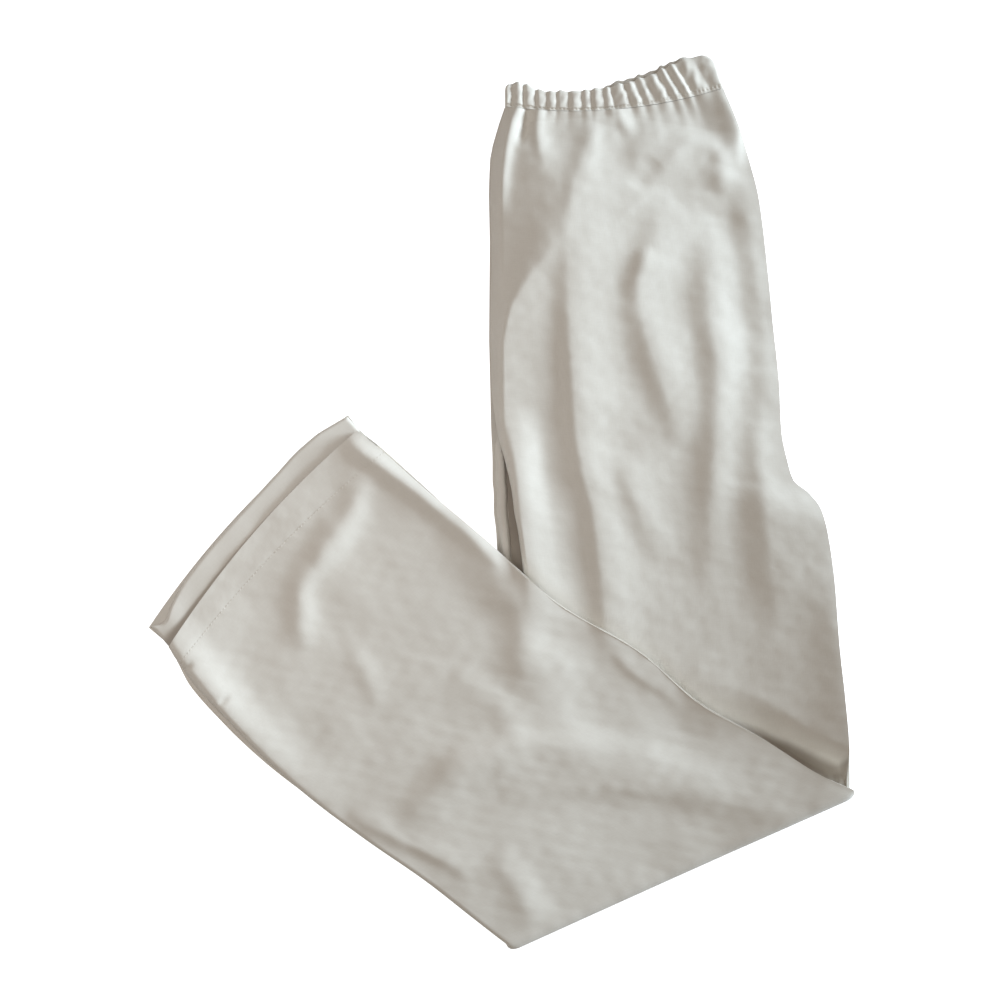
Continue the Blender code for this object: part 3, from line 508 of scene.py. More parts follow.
def outside_lower_leg(x, y):
    """How far a point lies on the waist side of the lower leg's inseam edge."""
    edge = LOWER.table[LEFT_HEM_LINE::-1]
    return (y - cubic(edge[:, 2], edge[:, 3], x)) * math.cos(LOWER_SLOPE)


def pressed(x, y):
    """1 where the upper half lies free, 0 well under the lower legs."""
    inward = smoothstep((x - PRESS_FROM) / (PRESS_TO - PRESS_FROM))
    under, beside = ((1 - inward) * ends[0] + inward * ends[1] for ends in (PRESS_UNDER, PRESS_BESIDE))
    return smoothstep((outside_lower_leg(x, y) + under) / (under + beside))


def wedge_painted_shade(x, y):
    """Painted shade: 1 in the opening beside the slid-in edge of the right front, where the back panels'
    colour is darkened.
    """
    y_knots, left, right = np.array(WEDGE, float).T
    left, right = np.interp(y, y_knots, left), np.interp(y, y_knots, right)
    inside = smoothstep((x - left) / WEDGE_EDGE)
    return inside * (y < y_knots[-1]) * (y > y_knots[0]) * (right > left)


def in_pocket(x, y):
    """1 in the opening between the two halves at the knee corner."""
    x_knots, widths = np.array(POCKET, float).T
    width = np.interp(x, x_knots, widths)
    reach = outside_lower_leg(x, y)
    inside = smoothstep((width - reach) / POCKET_EDGE) * smoothstep(width / POCKET_NARROW)
    return inside * (x > x_knots[0])


def side_edge_x(y):
    edge = UPPER.table[::-1]
    return cubic(edge[:, 1], edge[:, 0], y)


def inner_edge_x(y):
    edge = UPPER.table[::-1]
    return cubic(edge[:, 3], edge[:, 2], y)


def upper_top(x, y):
    """Top of the upper half: four layers, the air in them, and the folds of the right front."""
    from_side, from_inner = x - side_edge_x(y), inner_edge_x(y) - x
    puff = PUFF * smoothstep((PUFF_FROM - y) / PUFF_OVER)
    puff = puff * (1 - (1 - PUFF_BELOW) * smoothstep((PUFF_SINKS_FROM - y) / PUFF_SINKS_OVER))
    at_inseam = smoothstep((INSEAM_FROM - y) / INSEAM_OVER)
    puff = puff * (at_inseam + (1 - at_inseam) * smoothstep(from_inner / PUFF_INNER))
    over = np.interp(y, *np.array(SIDE_SLOPE, float).T)
    quick = SIDE_QUICK * smoothstep((over - SIDE_QUICK_OVER) / SIDE_QUICK_WHOLE)
    rise = quick * smoothstep(from_side / SIDE_QUICK_OVER) + (1 - quick) * smoothstep(from_side / over)
    body = (puff + relief(UPPER_BODY, x, y)) * rise
    swell = body + relief(UPPER_FOLDS, x, y) + unevenness(x, y, UPPER_SEED)
    pit = POCKET_DEPTH * in_pocket(x, y) * smoothstep(outside_lower_leg(x, y) / POCKET_SINKS_OVER)
    return STACK + swell * pressed(x, y) - pit


def beside_brow(x, y, fall):
    """1 over the upper half, 0 from fall beyond its side edge."""
    brow = side_edge_x(np.clip(y, UPPER.table[-1, 1], UPPER.table[0, 1])) - BROW
    return np.clip((x - brow + fall) / fall, 0, 1)


def lower_rest(x, y):
    """What the lower half rests on: the upper half, then a slope, then the table."""
    return smoothstep(beside_brow(x, y, FALL)) * (upper_top(x, y) + FOLD_GAP)


def lower_top(x, y):
    """Top of the lower half, which bridges from the upper half down to the hem."""
    steady = beside_brow(x, y, TOP_FALL)
    bridge = (STEADY * steady + (1 - STEADY) * smoothstep(steady)) * (upper_top(x, y) + FOLD_GAP)
    return bridge + STACK + relief(LOWER_FOLDS, x, y) + unevenness(x, y, LOWER_SEED)


def gathers(along_band):
    """Height of the gathers, and how far the casing's top edge drops, at millimetres along the casing."""
    valley, crest, place, drop = np.array(GATHERS, float).T
    knots = np.sort(np.concatenate([valley, valley[:-1] + place[:-1] * np.diff(valley)]))
    phase = np.interp(along_band, knots, np.arange(len(knots)))
    which = np.minimum(phase // 2, len(GATHERS) - 1).astype(int)
    swell = 0.5 - 0.5 * np.cos(math.pi * phase)
    change = smoothstep((along_band - GATHER_CHANGE_FROM) / GATHER_CHANGE_OVER)
    sharp = GATHER_BROAD + (GATHER_NARROW - GATHER_BROAD) * change
    return crest[which] * swell ** sharp, drop[which] * swell + GATHER_SCALLOP * (1 - swell)


# Cloth surfaces. Each gives a grid of points, one row for each distance along and one column across.


def grid(x, y, z):
    return np.stack(np.broadcast_arrays(x, y, z), axis=-1)


def edge_distance(leg, along, across, side_in=0.0, inner_in=0.0):
    return np.minimum(across, 1 - across) * (leg.width(along) - side_in - inner_in)


def turned_under(across, width, roll, crease=0.0):
    """Shares across a panel whose edge at the middle or inseam drops straight, a little in under its top.

    crease is the depth of the groove half way down it, where one leg lies on the other.
    """
    distance = (1 - across) * width
    height = quarter_round(distance, roll)
    wall = OVERHANG * (1 - height) + crease * np.exp(-(((height - CREASE_HEIGHT) / CREASE_WIDTH) ** 2))
    beyond = distance - roll * (1 - smoothstep((distance - roll) / DRAWN_OUT))
    return np.where(across < 0.5, across, 1 - np.where(distance < roll, wall, beyond) / width)


def leg_crease(along):
    """Depth of the groove between the two legs, uneven along the seams."""
    return LEG_CREASE * (1 + 0.3 * np.sin(along / 17.0) + 0.2 * np.sin(along / 7.3 + 1))[:, None]


def slid_off(along):
    """1 where the right front has slid off the side edges below it, and 0 where it covers them."""
    return smoothstep((UPPER.read(along).side_in[:, 0] - SLID_FROM) / SLID_OVER)


def right_front_upper(along, across):
    line = UPPER.read(along)
    width = UPPER.width(along) - line.side_in - line.inner_in
    x, y = UPPER.plan(
        along, turned_under(across, width, CENTRE_ROLL, leg_crease(along)), line.side_in, line.inner_in)
    gathered = gathers(across * BAND_LENGTH)[0]
    top = upper_top(x, y) + GATHER_RELIEF * gathered * np.exp(-along[:, None] / GATHER_FADE)
    shown = np.where(across < 0.5, line.side_in, line.inner_in)
    lying = smoothstep((shown - WRAP_WHOLE) / (WRAP_NONE - WRAP_WHOLE))
    lip = WALL + RIM + (STACK - 2 * WALL - GAP + WRAP_LIFT * pressed(x, y)) * lying
    lip = np.minimum(lip, top - LEAST_EDGE * CLOTH)
    distance = edge_distance(UPPER, along, across, line.side_in, line.inner_in)
    side_roll = UPPER_ROLL + (SLID_ROLL - UPPER_ROLL) * slid_off(along)[:, None]
    roll = np.where(across < 0.5, side_roll, CENTRE_ROLL)
    return grid(x, y, lip + (top - lip) * quarter_round(distance, roll))


def right_front_lower(along, across):
    line = LOWER.read(along)
    x, y = LOWER.plan(along, across, line.side_in, line.inner_in)
    from_edge = across * (LOWER.width(along) - line.side_in - line.inner_in)
    curl = CURL * smoothstep(-line.side_in / CURL_OUT) * smoothstep((CURL_OVER - from_edge) / CURL_OVER)
    return grid(x, y, lower_rest(x, y) + curl)


def left_front_lower(along, across):
    x, y = LOWER.plan(along, turned_under(across, LOWER.width(along), LOWER_INNER_ROLL))
    line = LOWER.read(along)
    rest = lower_rest(x, y)
    peek = np.where(across < 0.5, line.side_in, line.inner_in)
    lip = rest + RIM + PEEK_RISE * smoothstep((PEEK_NONE - peek) / (PEEK_NONE - PEEK_WHOLE))
    lip = np.where(across < 0.5, lip, rest + LOWER_INNER_LIP)
    at_inner = OPEN_INNER * smoothstep((across - OPEN_INNER_FROM) / OPEN_INNER_OVER)
    at_ends = 1 - smoothstep(across / OPEN_SIDE) + at_inner
    over_hem = rest + WALL + STRIP_THICK + STRIP_AIR + STRIP_OPEN * at_ends
    near_hem = smoothstep((along[:, None] - LEFT_END + 2 * STRIP_TUCK) / STRIP_TUCK)
    lip = lip + (over_hem - lip) * near_hem
    top = np.maximum(lower_top(x, y), lip)
    roll = np.where(across < 0.5, LOWER_SIDE_ROLL, LOWER_INNER_ROLL)
    return grid(x, y, lip + (top - lip) * quarter_round(edge_distance(LOWER, along, across), roll))


def layer_upper(along, across, depth, side_in, inner_in):
    x, y = UPPER.plan(along, across, side_in, inner_in)
    return grid(x, y, depth)


def layer_lower(along, across, depth):
    line = LOWER.read(along)
    x, y = LOWER.plan(along, across, line.side_in, line.inner_in)
    return grid(x, y, lower_rest(x, y) + STACK - depth)


def knee_turn(low, high, across, inset, depth, steps):
    """Rows round the knee from the last row of the upper half to the first of the lower one."""
    way = high[-1, :2] - high[0, :2]
    onward = np.array([way[1], -way[0]]) / np.linalg.norm(way)
    distance = np.minimum(across, 1 - across) * np.linalg.norm(way) + inset
    square = FOLD_SQUARE + (1 - FOLD_SQUARE) * quarter_round(distance, FOLD_CORNER)
    angle = math.pi * (np.linspace(0, 1, steps + 1)[1:-1] - 0.5)[:, None]
    bulge = (FOLD_REACH * square - depth) * np.cos(angle)
    middle = (high[:, 2] + low[:, 2]) / 2
    z = middle + (high[:, 2] - middle) * np.sin(angle)
    return grid(high[:, 0] + bulge * onward[0], high[:, 1] + bulge * onward[1], z)


# Meshes


def rows_between(start, end, pitch):
    return np.linspace(start, end, max(1, round((end - start) / pitch)) + 1)


def rows_through(*stretches):
    """Rows from 0 through stretches, each given as its end and the distance between its rows."""
    rows = [np.zeros(1)]
    for end, pitch in stretches:
        rows.append(rows_between(rows[-1][-1], end, pitch)[1:])
    return np.concatenate(rows)


def shares(leg, along, side_roll, inner_roll, cells, steps):
    """Shares across a panel at each row: close together on the rolled edges, even between them."""
    angles = np.linspace(0, math.pi / 2, steps + 1)
    side = side_roll * (1 - np.cos(angles)) / leg.width(along)
    inner = 1 - inner_roll * (1 - np.cos(angles)) / leg.width(along)
    even = np.linspace(0, 1, cells + 1)[1:-1]
    middle = side[:, -1:] + even * (inner[:, -1:] - side[:, -1:])
    return np.hstack([side, middle, inner[:, ::-1]])


def normals_of(points):
    """Unit normals of a grid of points: the way along its rows crossed with the way across them."""
    down = np.gradient(points, axis=0)
    across = np.gradient(points, axis=1)
    normal = np.cross(down, across)
    return normal / np.maximum(np.linalg.norm(normal, axis=2, keepdims=True), 1e-9)


def cloth_distances(points):
    """Distances over the cloth from its first row and first column, for the weave to follow."""
    down = np.linalg.norm(np.diff(points, axis=0), axis=2).mean(axis=1)
    across = np.linalg.norm(np.diff(points, axis=1), axis=2)
    v = np.concatenate([[0], np.cumsum(down)])
    u = np.hstack([np.zeros((len(points), 1)), np.cumsum(across, axis=1)])
    return u - u[:, -1:] / 2, np.broadcast_to(v[:, None], u.shape)


def shell(name, outer, inner, material, painted_shade=None):
    """A closed shell between two grids of points, with a UV map in metres of cloth.

    Its last argument is painted shade: 1 where the cloth lies deep in an opening, where its colour is
    darkened to stand in for the shade there.
    """
    rows, columns = outer.shape[:2]
    index = np.arange(rows * columns).reshape(rows, columns)
    quads = np.stack([index[:-1, :-1], index[:-1, 1:], index[1:, 1:], index[1:, :-1]], axis=-1).reshape(-1, 4)
    below = quads[:, ::-1] + rows * columns
    border = np.concatenate([index[0, :-1], index[:-1, -1], index[-1, :0:-1], index[:0:-1, 0]])
    after = np.roll(border, -1)
    rim = np.stack([after, border, border + rows * columns, after + rows * columns], axis=-1)
    faces = np.concatenate([quads, below, rim])
    points = np.concatenate([outer.reshape(-1, 3), inner.reshape(-1, 3)])
    mesh = bpy.data.meshes.new(name)
    mesh.from_pydata((points - CENTRE) * MM, [], faces.tolist())
    u, v = cloth_distances(outer)
    uv = np.tile(np.stack([u.ravel(), v.ravel()], axis=1) * MM, (2, 1))
    layer = mesh.uv_layers.new(name="cloth")
    layer.data.foreach_set("uv", uv[faces.ravel()].ravel())
    first, second, third, fourth = (points[faces[:, corner]] for corner in range(4))
    room = np.einsum("ij,ij->i", first, np.cross(second, third)).sum()
    room += np.einsum("ij,ij->i", first, np.cross(third, fourth)).sum()
    if room < 0:
        mesh.flip_normals()
    if painted_shade is not None:
        mesh.attributes.new("painted_shade", "FLOAT", "POINT").data.foreach_set("value", np.tile(painted_shade.ravel(), 2))
    mesh.shade_smooth()
    mesh.set_sharp_from_angle(angle=math.radians(60))
    mesh.materials.append(material)
    obj = bpy.data.objects.new(name, mesh)
    bpy.context.scene.collection.objects.link(obj)
    return obj


def cloth(name, outer, thickness, material, out, painted_shade=None):
    """A sheet of cloth hung inwards from its outer face. out is 1 or -1, the side its face looks to."""
    inner = outer - out * normals_of(outer) * thickness
    inner[:, :, 2] = np.maximum(inner[:, :, 2], LEAST_HEIGHT)
    return shell(name, outer, inner, material, painted_shade)


# Materials


class Value:
    """A number in a shader, which Python's operators add Math nodes to."""

    def __init__(self, tree, socket):
        self.tree, self.socket = tree, socket

    def maths(self, operation, *others):
        made = self.tree.node("ShaderNodeMath", {"operation": operation}, dict(enumerate([self, *others])))
        return made["Value"]

    def __add__(self, other):
        return self.maths("ADD", other)

    def __sub__(self, other):
        return self.maths("SUBTRACT", other)

    def __mul__(self, other):
        return self.maths("MULTIPLY", other)

    def __rsub__(self, other):
        return self.maths("MULTIPLY", -1.0) + other

    __radd__ = __add__
    __rmul__ = __mul__


class Tree:
    """A node tree, to which each node is added with its settings and the values or links of its sockets."""

    def __init__(self, tree):
        self.tree = tree

    def node(self, kind, settings=None, sockets=None):
        node = self.tree.nodes.new(kind)
        for name, setting in (settings or {}).items():
            setattr(node, name, setting)
        for name, value in (sockets or {}).items():
            socket = node.inputs[name]
            if isinstance(name, str):
                socket = next(each for each in node.inputs if each.name == name and each.enabled)
            if isinstance(value, Value):
                self.tree.links.new(value.socket, socket)
            else:
                socket.default_value = value
        return {socket.name: Value(self, socket) for socket in node.outputs if socket.enabled}


LINEN = (0.775, 0.722, 0.645)
LINEN_DARK = (0.675, 0.618, 0.538)
# The colour of painted shade, towards which the cloth's colour darkens in openings and under edges
LINEN_PAINTED_SHADE = (0.36, 0.30, 0.24)
THREAD = 0.0008  # metres between the slubby threads that show
SLUBS = 140.0  # slubs to a metre of thread
MOTTLE = 38.0  # patches to a metre
CRUMPLES = 95.0, 70.0  # to a metre across and along
THREAD_BUMP, CRUMPLE_BUMP, MOTTLE_BUMP = 0.015, 0.04, 0.14  # heights in millimetres
TWIST = 1400.0  # of the sewing thread, to a metre


def linen(name):
    """Undyed plain-weave linen: uneven threads both ways, a soft mottle and a slight sheen, and painted shade
    that darkens its colour where a piece's attribute asks for it.
    """
    material = bpy.data.materials.new(name)
    material.use_nodes = True
    shader = material.node_tree.nodes["Principled BSDF"]
    tree = Tree(material.node_tree)
    uv = tree.node("ShaderNodeUVMap", {"uv_map": "cloth"})["UV"]

    def noise(scale, detail):
        stretched = tree.node("ShaderNodeMapping", {"vector_type": "POINT"}, {"Vector": uv, "Scale": scale})
        return tree.node("ShaderNodeTexNoise", {"noise_dimensions": "2D"}, {
            "Vector": stretched["Vector"], "Scale": 1.0, "Detail": detail, "Roughness": 0.6})["Fac"]

    warp = noise((1 / THREAD, SLUBS, 1.0), 1.0)
    weft = noise((SLUBS, 1 / THREAD, 1.0), 1.0)
    mottle = noise((MOTTLE, MOTTLE, 1.0), 3.0)
    crumple = noise((*CRUMPLES, 1.0), 2.0)
    threads = (warp + weft) * 0.5
    tone = (threads - 0.5) * 0.8 + (mottle - 0.5) * 0.5 + 0.6
    colour = tree.node("ShaderNodeMix", {"data_type": "RGBA", "clamp_factor": True}, {
        "Factor": tone, "A": (*LINEN_DARK, 1.0), "B": (*LINEN, 1.0)})
    # painted shade: the colour is darkened towards the painted shade colour by the piece's attribute
    painted_shade = tree.node("ShaderNodeAttribute", {"attribute_name": "painted_shade"})["Fac"]
    with_painted_shade = tree.node("ShaderNodeMix", {"data_type": "RGBA", "clamp_factor": True}, {
        "Factor": painted_shade, "A": colour["Result"], "B": (*LINEN_PAINTED_SHADE, 1.0)})
    material.node_tree.links.new(with_painted_shade["Result"].socket, shader.inputs["Base Color"])
    height = threads * THREAD_BUMP + crumple * CRUMPLE_BUMP + mottle * MOTTLE_BUMP
    bump = tree.node("ShaderNodeBump", {}, {"Strength": 1.0, "Distance": MM, "Height": height})
    material.node_tree.links.new(bump["Normal"].socket, shader.inputs["Normal"])
    rough = threads * 0.1 + 0.58
    material.node_tree.links.new(rough.socket, shader.inputs["Roughness"])
    shader.inputs["Specular IOR Level"].default_value = 0.45
    shader.inputs["Sheen Weight"].default_value = 0.25
    shader.inputs["Sheen Roughness"].default_value = 0.45
    return material


def thread():
    """The sewing thread: the linen's own colour, with the light and dark of its twist."""
    material = bpy.data.materials.new("thread")
    material.use_nodes = True
    shader = material.node_tree.nodes["Principled BSDF"]
    tree = Tree(material.node_tree)
    place = tree.node("ShaderNodeTexCoord")["Object"]
    twist = tree.node("ShaderNodeTexNoise", {}, {"Vector": place, "Scale": TWIST, "Detail": 1.0})["Fac"]
    colour = tree.node("ShaderNodeMix", {"data_type": "RGBA", "clamp_factor": True}, {
        "Factor": twist * 1.6 - 0.3, "A": (*LINEN_DARK, 1.0), "B": (*LINEN, 1.0)})
    material.node_tree.links.new(colour["Result"].socket, shader.inputs["Base Color"])
    shader.inputs["Roughness"].default_value = 0.5
    return material


# Stitches


def stitch_nodes():
    """Thread laid along a line as stitches, each a short bead turned a little from the line."""
    group = bpy.data.node_groups.new("stitches", "GeometryNodeTree")
    inputs = {"Line": "Geometry", "Pitch": "Float", "Length": "Float", "Thread": "Float"}
    inputs["Thread Material"] = "Material"
    for name, kind in inputs.items():
        group.interface.new_socket(name, in_out="INPUT", socket_type="NodeSocket" + kind)
    group.interface.new_socket("Stitches", in_out="OUTPUT", socket_type="NodeSocketGeometry")
    tree = Tree(group)
    given = tree.node("NodeGroupInput")

    def uneven(least, most, seed):
        sockets = {"Min": least, "Max": most, "Seed": seed}
        return tree.node("FunctionNodeRandomValue", {"data_type": "FLOAT"}, sockets)["Value"]

    line = tree.node("GeometryNodeMeshToCurve", {}, {"Mesh": given["Line"]})["Curve"]
    places = tree.node(
        "GeometryNodeResampleCurve", {"mode": "LENGTH"}, {"Curve": line, "Length": given["Pitch"]})["Curve"]
    across = given["Thread"]
    size = tree.node("ShaderNodeCombineXYZ", {}, {"X": given["Length"], "Y": across, "Z": across})["Vector"]
    ball = tree.node("GeometryNodeMeshUVSphere", {}, {"Segments": 8, "Rings": 5, "Radius": 0.5})["Mesh"]
    bead = tree.node("GeometryNodeTransform", {}, {"Geometry": ball, "Scale": size})["Geometry"]
    way = tree.node("GeometryNodeInputTangent")["Tangent"]
    aligned = tree.node("FunctionNodeAlignRotationToVector", {"axis": "X"}, {"Vector": way})["Rotation"]
    askew = uneven(-STITCH_ASKEW, STITCH_ASKEW, STITCH_SEEDS[0])
    turn = tree.node(
        "FunctionNodeAxisAngleToRotation", {}, {"Axis": (0.0, 0.0, 1.0), "Angle": askew})["Rotation"]
    turned = tree.node(
        "FunctionNodeRotateRotation", {"rotation_space": "LOCAL"}, {"Rotation": aligned, "Rotate By": turn})
    laid = tree.node("GeometryNodeInstanceOnPoints", {}, {
        "Points": places, "Instance": bead, "Rotation": turned["Rotation"],
        "Scale": uneven(*STITCH_TENSION, STITCH_SEEDS[1])})["Instances"]
    made = tree.node("GeometryNodeRealizeInstances", {}, {"Geometry": laid})["Geometry"]
    smooth = tree.node("GeometryNodeSetShadeSmooth", {}, {"Geometry": made})["Geometry"]
    finished = tree.node(
        "GeometryNodeSetMaterial", {}, {"Geometry": smooth, "Material": given["Thread Material"]})["Geometry"]
    tree.node("NodeGroupOutput", {}, {"Stitches": finished})
    return group


def make_stitches(name, line, group, material):
    """A row of stitches along a line of points."""
    path = bpy.data.meshes.new(name + "_line")
    path.from_pydata((line - CENTRE) * MM, [(i, i + 1) for i in range(len(line) - 1)], [])
    obj = bpy.data.objects.new(name, path)
    bpy.context.scene.collection.objects.link(obj)
    modifier = obj.modifiers.new("stitches", "NODES")
    modifier.node_group = group
    values = {"Pitch": STITCH_PITCH * MM, "Length": STITCH_LENGTH * MM, "Thread": STITCH_THREAD * MM}
    values["Thread Material"] = material
    for socket in group.interface.items_tree:
        if socket.in_out == "INPUT" and socket.name in values:
            modifier[socket.identifier] = values[socket.name]
    bpy.context.view_layer.update()
    mesh = bpy.data.meshes.new_from_object(obj.evaluated_get(bpy.context.evaluated_depsgraph_get()))
    obj.modifiers.remove(modifier)
    obj.data = mesh
    return obj


# Pieces


CELLS_ACROSS, STRIP_CELLS = 124, 90  # of a leg panel and of the right hem's strip, between their edges
ROLL_STEPS = 6  # on each edge
TURN_STEPS = 12  # round the knee fold
PITCH_GATHERS, GATHERS_LENGTH = 1.2, 30.0  # between the right front's rows below the casing
PITCH_SHOWN, SHOWN_LENGTH = 2.2, 600.0  # and on, as far as it shows
PITCH_HIDDEN = 12.0  # where nothing of a panel shows
PITCH_LEFT_HEM, PITCH_RIGHT_HEM = 0.9, 0.8  # on the two hems
HEM_FINE = 4.0  # the left hem's close rows begin so far before its stitches
# The left front's rows on the table, by their stretches' ends: close where its side edge shows
FLAT_STRETCHES, PITCH_FLAT = ((80, 10), (240, 40), (400, 6)), 25
BACK_FINE, BACK_COARSE = 20.0, 25  # columns of a back panel: a millimetre apart, and then wide


def make_right_front(material):
    along = rows_through(
        (GATHERS_LENGTH, PITCH_GATHERS), (SHOWN_LENGTH, PITCH_SHOWN), (UPPER.length, PITCH_HIDDEN))
    upper = right_front_upper(along, shares(UPPER, along, UPPER_ROLL, CENTRE_ROLL, CELLS_ACROSS, ROLL_STEPS))
    below = rows_between(0, LOWER.length, PITCH_HIDDEN)
    across = shares(LOWER, below, UPPER_ROLL, UPPER_ROLL, CELLS_ACROSS, ROLL_STEPS)
    lower = right_front_lower(below, across)
    turn = knee_turn(upper[-1], lower[0], across[0], KNEE_INSET, STACK, TURN_STEPS)
    # painted shade in the opening at the knee corner, darkening the right front's colour
    painted_shade = np.zeros((len(upper) + len(turn) + len(lower), upper.shape[1]))
    painted_shade[:len(upper)] = POCKET_PAINTED_SHADE * in_pocket(upper[:, :, 0], upper[:, :, 1])
    return cloth("right_front_cloth", np.concatenate([upper, turn, lower]), CLOTH, material, out=1, painted_shade=painted_shade)


def hem_relief(x, y, past_stitches):
    """The step and the dip of a turned hem at its row of stitches, and its small puckers."""
    dip = HEM_DIP * np.exp(-((past_stitches / HEM_DIP_OVER) ** 2))
    step = HEM_STEP * smoothstep(past_stitches / HEM_STEP_OVER + 0.5) - dip
    pucker = HEM_PUCKER * smoothstep(past_stitches / HEM_PUCKER_OVER + 1)
    return step[:, None] + pucker[:, None] * dents(x, y, *PUCKER_LENGTHS, HEM_SEED)


def make_left_front(material):
    """The left front, and its upper face in the lower half with that face's rows, for the hem's stitches."""
    flat = rows_through(*FLAT_STRETCHES, (UPPER.length, PITCH_FLAT))
    across = shares(UPPER, flat, UPPER_ROLL, UPPER_ROLL, CELLS_ACROSS, ROLL_STEPS)
    under = layer_upper(flat, across, 0.0, 0.0, 0.0)
    stitch_row = LEFT_END - HEM_DEPTH
    along = rows_through((stitch_row - HEM_FINE, PITCH_SHOWN), (LEFT_END, PITCH_LEFT_HEM))
    past_stitches = along - LEFT_END + HEM_DEPTH
    across = shares(LOWER, along, LOWER_SIDE_ROLL, LOWER_INNER_ROLL, CELLS_ACROSS, ROLL_STEPS)
    lower = left_front_lower(along, across)
    lower[:, :, 2] += hem_relief(lower[:, :, 0], lower[:, :, 1], past_stitches)
    turn = knee_turn(under[-1], lower[0], across[0], 0.0, 0.0, TURN_STEPS)
    points = np.concatenate([under, turn, lower])
    thickness = np.full(len(points), CLOTH)
    thicker = (HEM_CLOTH - CLOTH) * smoothstep(past_stitches / HEM_THICKENS_OVER)
    thickness[len(under) + len(turn):] += thicker
    return cloth("left_front_cloth", points, thickness[:, None, None], material, out=-1), lower, along


def back_shares(leg, along, side_in=0.0):
    """Shares across a back panel: a millimetre apart where its edge shows at the side, then wide."""
    width = leg.width(along) - side_in - BACK_INSET
    fine = np.arange(BACK_FINE) / width
    coarse = np.linspace(0, 1, BACK_COARSE)[1:]
    return np.hstack([fine, fine[:, -1:] + coarse * (1 - fine[:, -1:])])


def side_tuck(reach):
    """1 on the tuck beside a back panel's side edge, at distances from the leg's side edge."""
    (rise_from, rise_over), (fall_from, fall_over) = TUCK_RISE, TUCK_FALL
    return smoothstep((reach - rise_from) / rise_over) * (1 - smoothstep((reach - fall_from) / fall_over))


def make_back(name, depth, side_in, tuck, material):
    """A back panel between the fronts. side_in gives its inset at the side, and tuck its tuck's height."""
    along = rows_between(BACK_START, UPPER.length, PITCH_HIDDEN / 2)
    inset = side_in(along)[:, None]
    across = back_shares(UPPER, along, inset)
    upper = layer_upper(along, across, depth, inset, BACK_INSET)
    reach = inset + across * (UPPER.width(along) - inset - BACK_INSET)
    upper[:, :, 2] += tuck * slid_off(along)[:, None] * side_tuck(reach)
    below = rows_between(0, LEFT_END - BACK_END, PITCH_HIDDEN / 2)
    across = back_shares(LOWER, below)
    lower = layer_lower(below, across, depth)
    turn = knee_turn(upper[-1], lower[0], across[0], KNEE_INSET, depth, TURN_STEPS)
    # painted shade in the opening beside the slid-in right front
    painted_shade = np.zeros((len(upper) + len(turn) + len(lower), upper.shape[1]))
    painted_shade[:len(upper)] = wedge_painted_shade(upper[:, :, 0], upper[:, :, 1])
    return cloth(name, np.concatenate([upper, turn, lower]), CLOTH, material, out=-1, painted_shade=painted_shade)


def left_back_inset(along):
    return BACK_INSET - LEFT_BACK_OUT * slid_off(along)


def right_back_inset(along):
    return BACK_INSET + RIGHT_BACK_IN * slid_off(along)


def make_right_hem(material):
    """The right leg's turned hem, which shows beyond the left leg's."""
    along = rows_between(LEFT_END - STRIP_TUCK, LOWER.length, PITCH_RIGHT_HEM)
    across = shares(LOWER, along, STRIP_FINE, STRIP_FINE, STRIP_CELLS, ROLL_STEPS)
    line = LOWER.read(along)
    side_in, inner_in = line.side_in + STRIP_SIDE_IN, line.inner_in + STRIP_INNER_IN
    share = (along[:, None] - LEFT_END + STRIP_TUCK) / (LOWER.length - LEFT_END + STRIP_TUCK)
    pulled = cubic(*np.array(HEM_PULL).T, across)
    place = along[0] + share * (LOWER.length - pulled - along[0])
    first_x, first_y = LOWER.plan(along[:1], across[:1], side_in[0], inner_in[0])
    last_x, last_y = LOWER.plan(along[-1:], across[-1:], side_in[-1], inner_in[-1])
    ratio = (place - along[0]) / (along[-1] - along[0])
    x = first_x + (last_x - first_x) * ratio
    y = first_y + (last_y - first_y) * ratio
    rest = lower_rest(x, y) + WALL + GAP
    sides = quarter_round(edge_distance(LOWER, along, across, side_in, inner_in), STRIP_ROLL)
    ends = quarter_round(LOWER.length - pulled - place, STRIP_ROLL)
    wave = STRIP_WAVE * np.sin(across * 23.0) * np.sin(across * 9.0 + 1.0)
    corner = CORNER_RISE * np.exp(-(((across - CORNER_PLACE) / CORNER_WIDTH) ** 2))
    top = rest + STRIP_LIP + (STRIP_THICK - STRIP_LIP + wave + corner) * sides * ends
    # painted shadow on the strip where it goes in under the left leg's edge, wider at the side seam's corner
    shade = HEM_SHADE + HEM_CORNER_SHADE * np.exp(-((across / HEM_CORNER) ** 2))
    strip_painted_shade = HEM_PAINTED_SHADE * smoothstep((LEFT_END + shade - place) / shade)
    return shell("right_hem_cloth", grid(x, y, top), grid(x, y, rest), material, strip_painted_shade)


def band_plan(across, up, extra):
    """x and y of the casing, its gathers' height and its rim's curl.

    across runs along it from the side seam, and up from its foot, 0, to its top, 1. extra is 1 for the
    back casing, whose rim shows above the front one, and 0 for the others.
    """
    along = across * BAND_LENGTH
    height, lean, rise, curl, slant = (cubic(BAND_TABLE[:, 0], column, along) for column in BAND_TABLE.T[1:])
    foot_x, foot_y = UPPER.plan(np.zeros(1), across[None, :], BAND_IN, BAND_IN)
    way = np.array([foot_x[0, -1] - foot_x[0, 0], foot_y[0, -1] - foot_y[0, 0]])
    way = way / np.linalg.norm(way)
    gather, drop = gathers(along + slant * up)
    corners = BAND_CORNERS[0] * (1 - quarter_round(along, BAND_CORNERS[0]))
    corners = corners + BAND_CORNERS[1] * (1 - quarter_round(BAND_LENGTH - along, BAND_CORNERS[1]))
    tall = BAND_FOOT + up * (height - corners - drop + extra * rise)
    x, y = foot_x - tall * way[1] + up * lean * way[0], foot_y + tall * way[0] + up * lean * way[1]
    return x, y, gather, curl * smoothstep((up - CURL_FROM) / (1 - CURL_FROM))


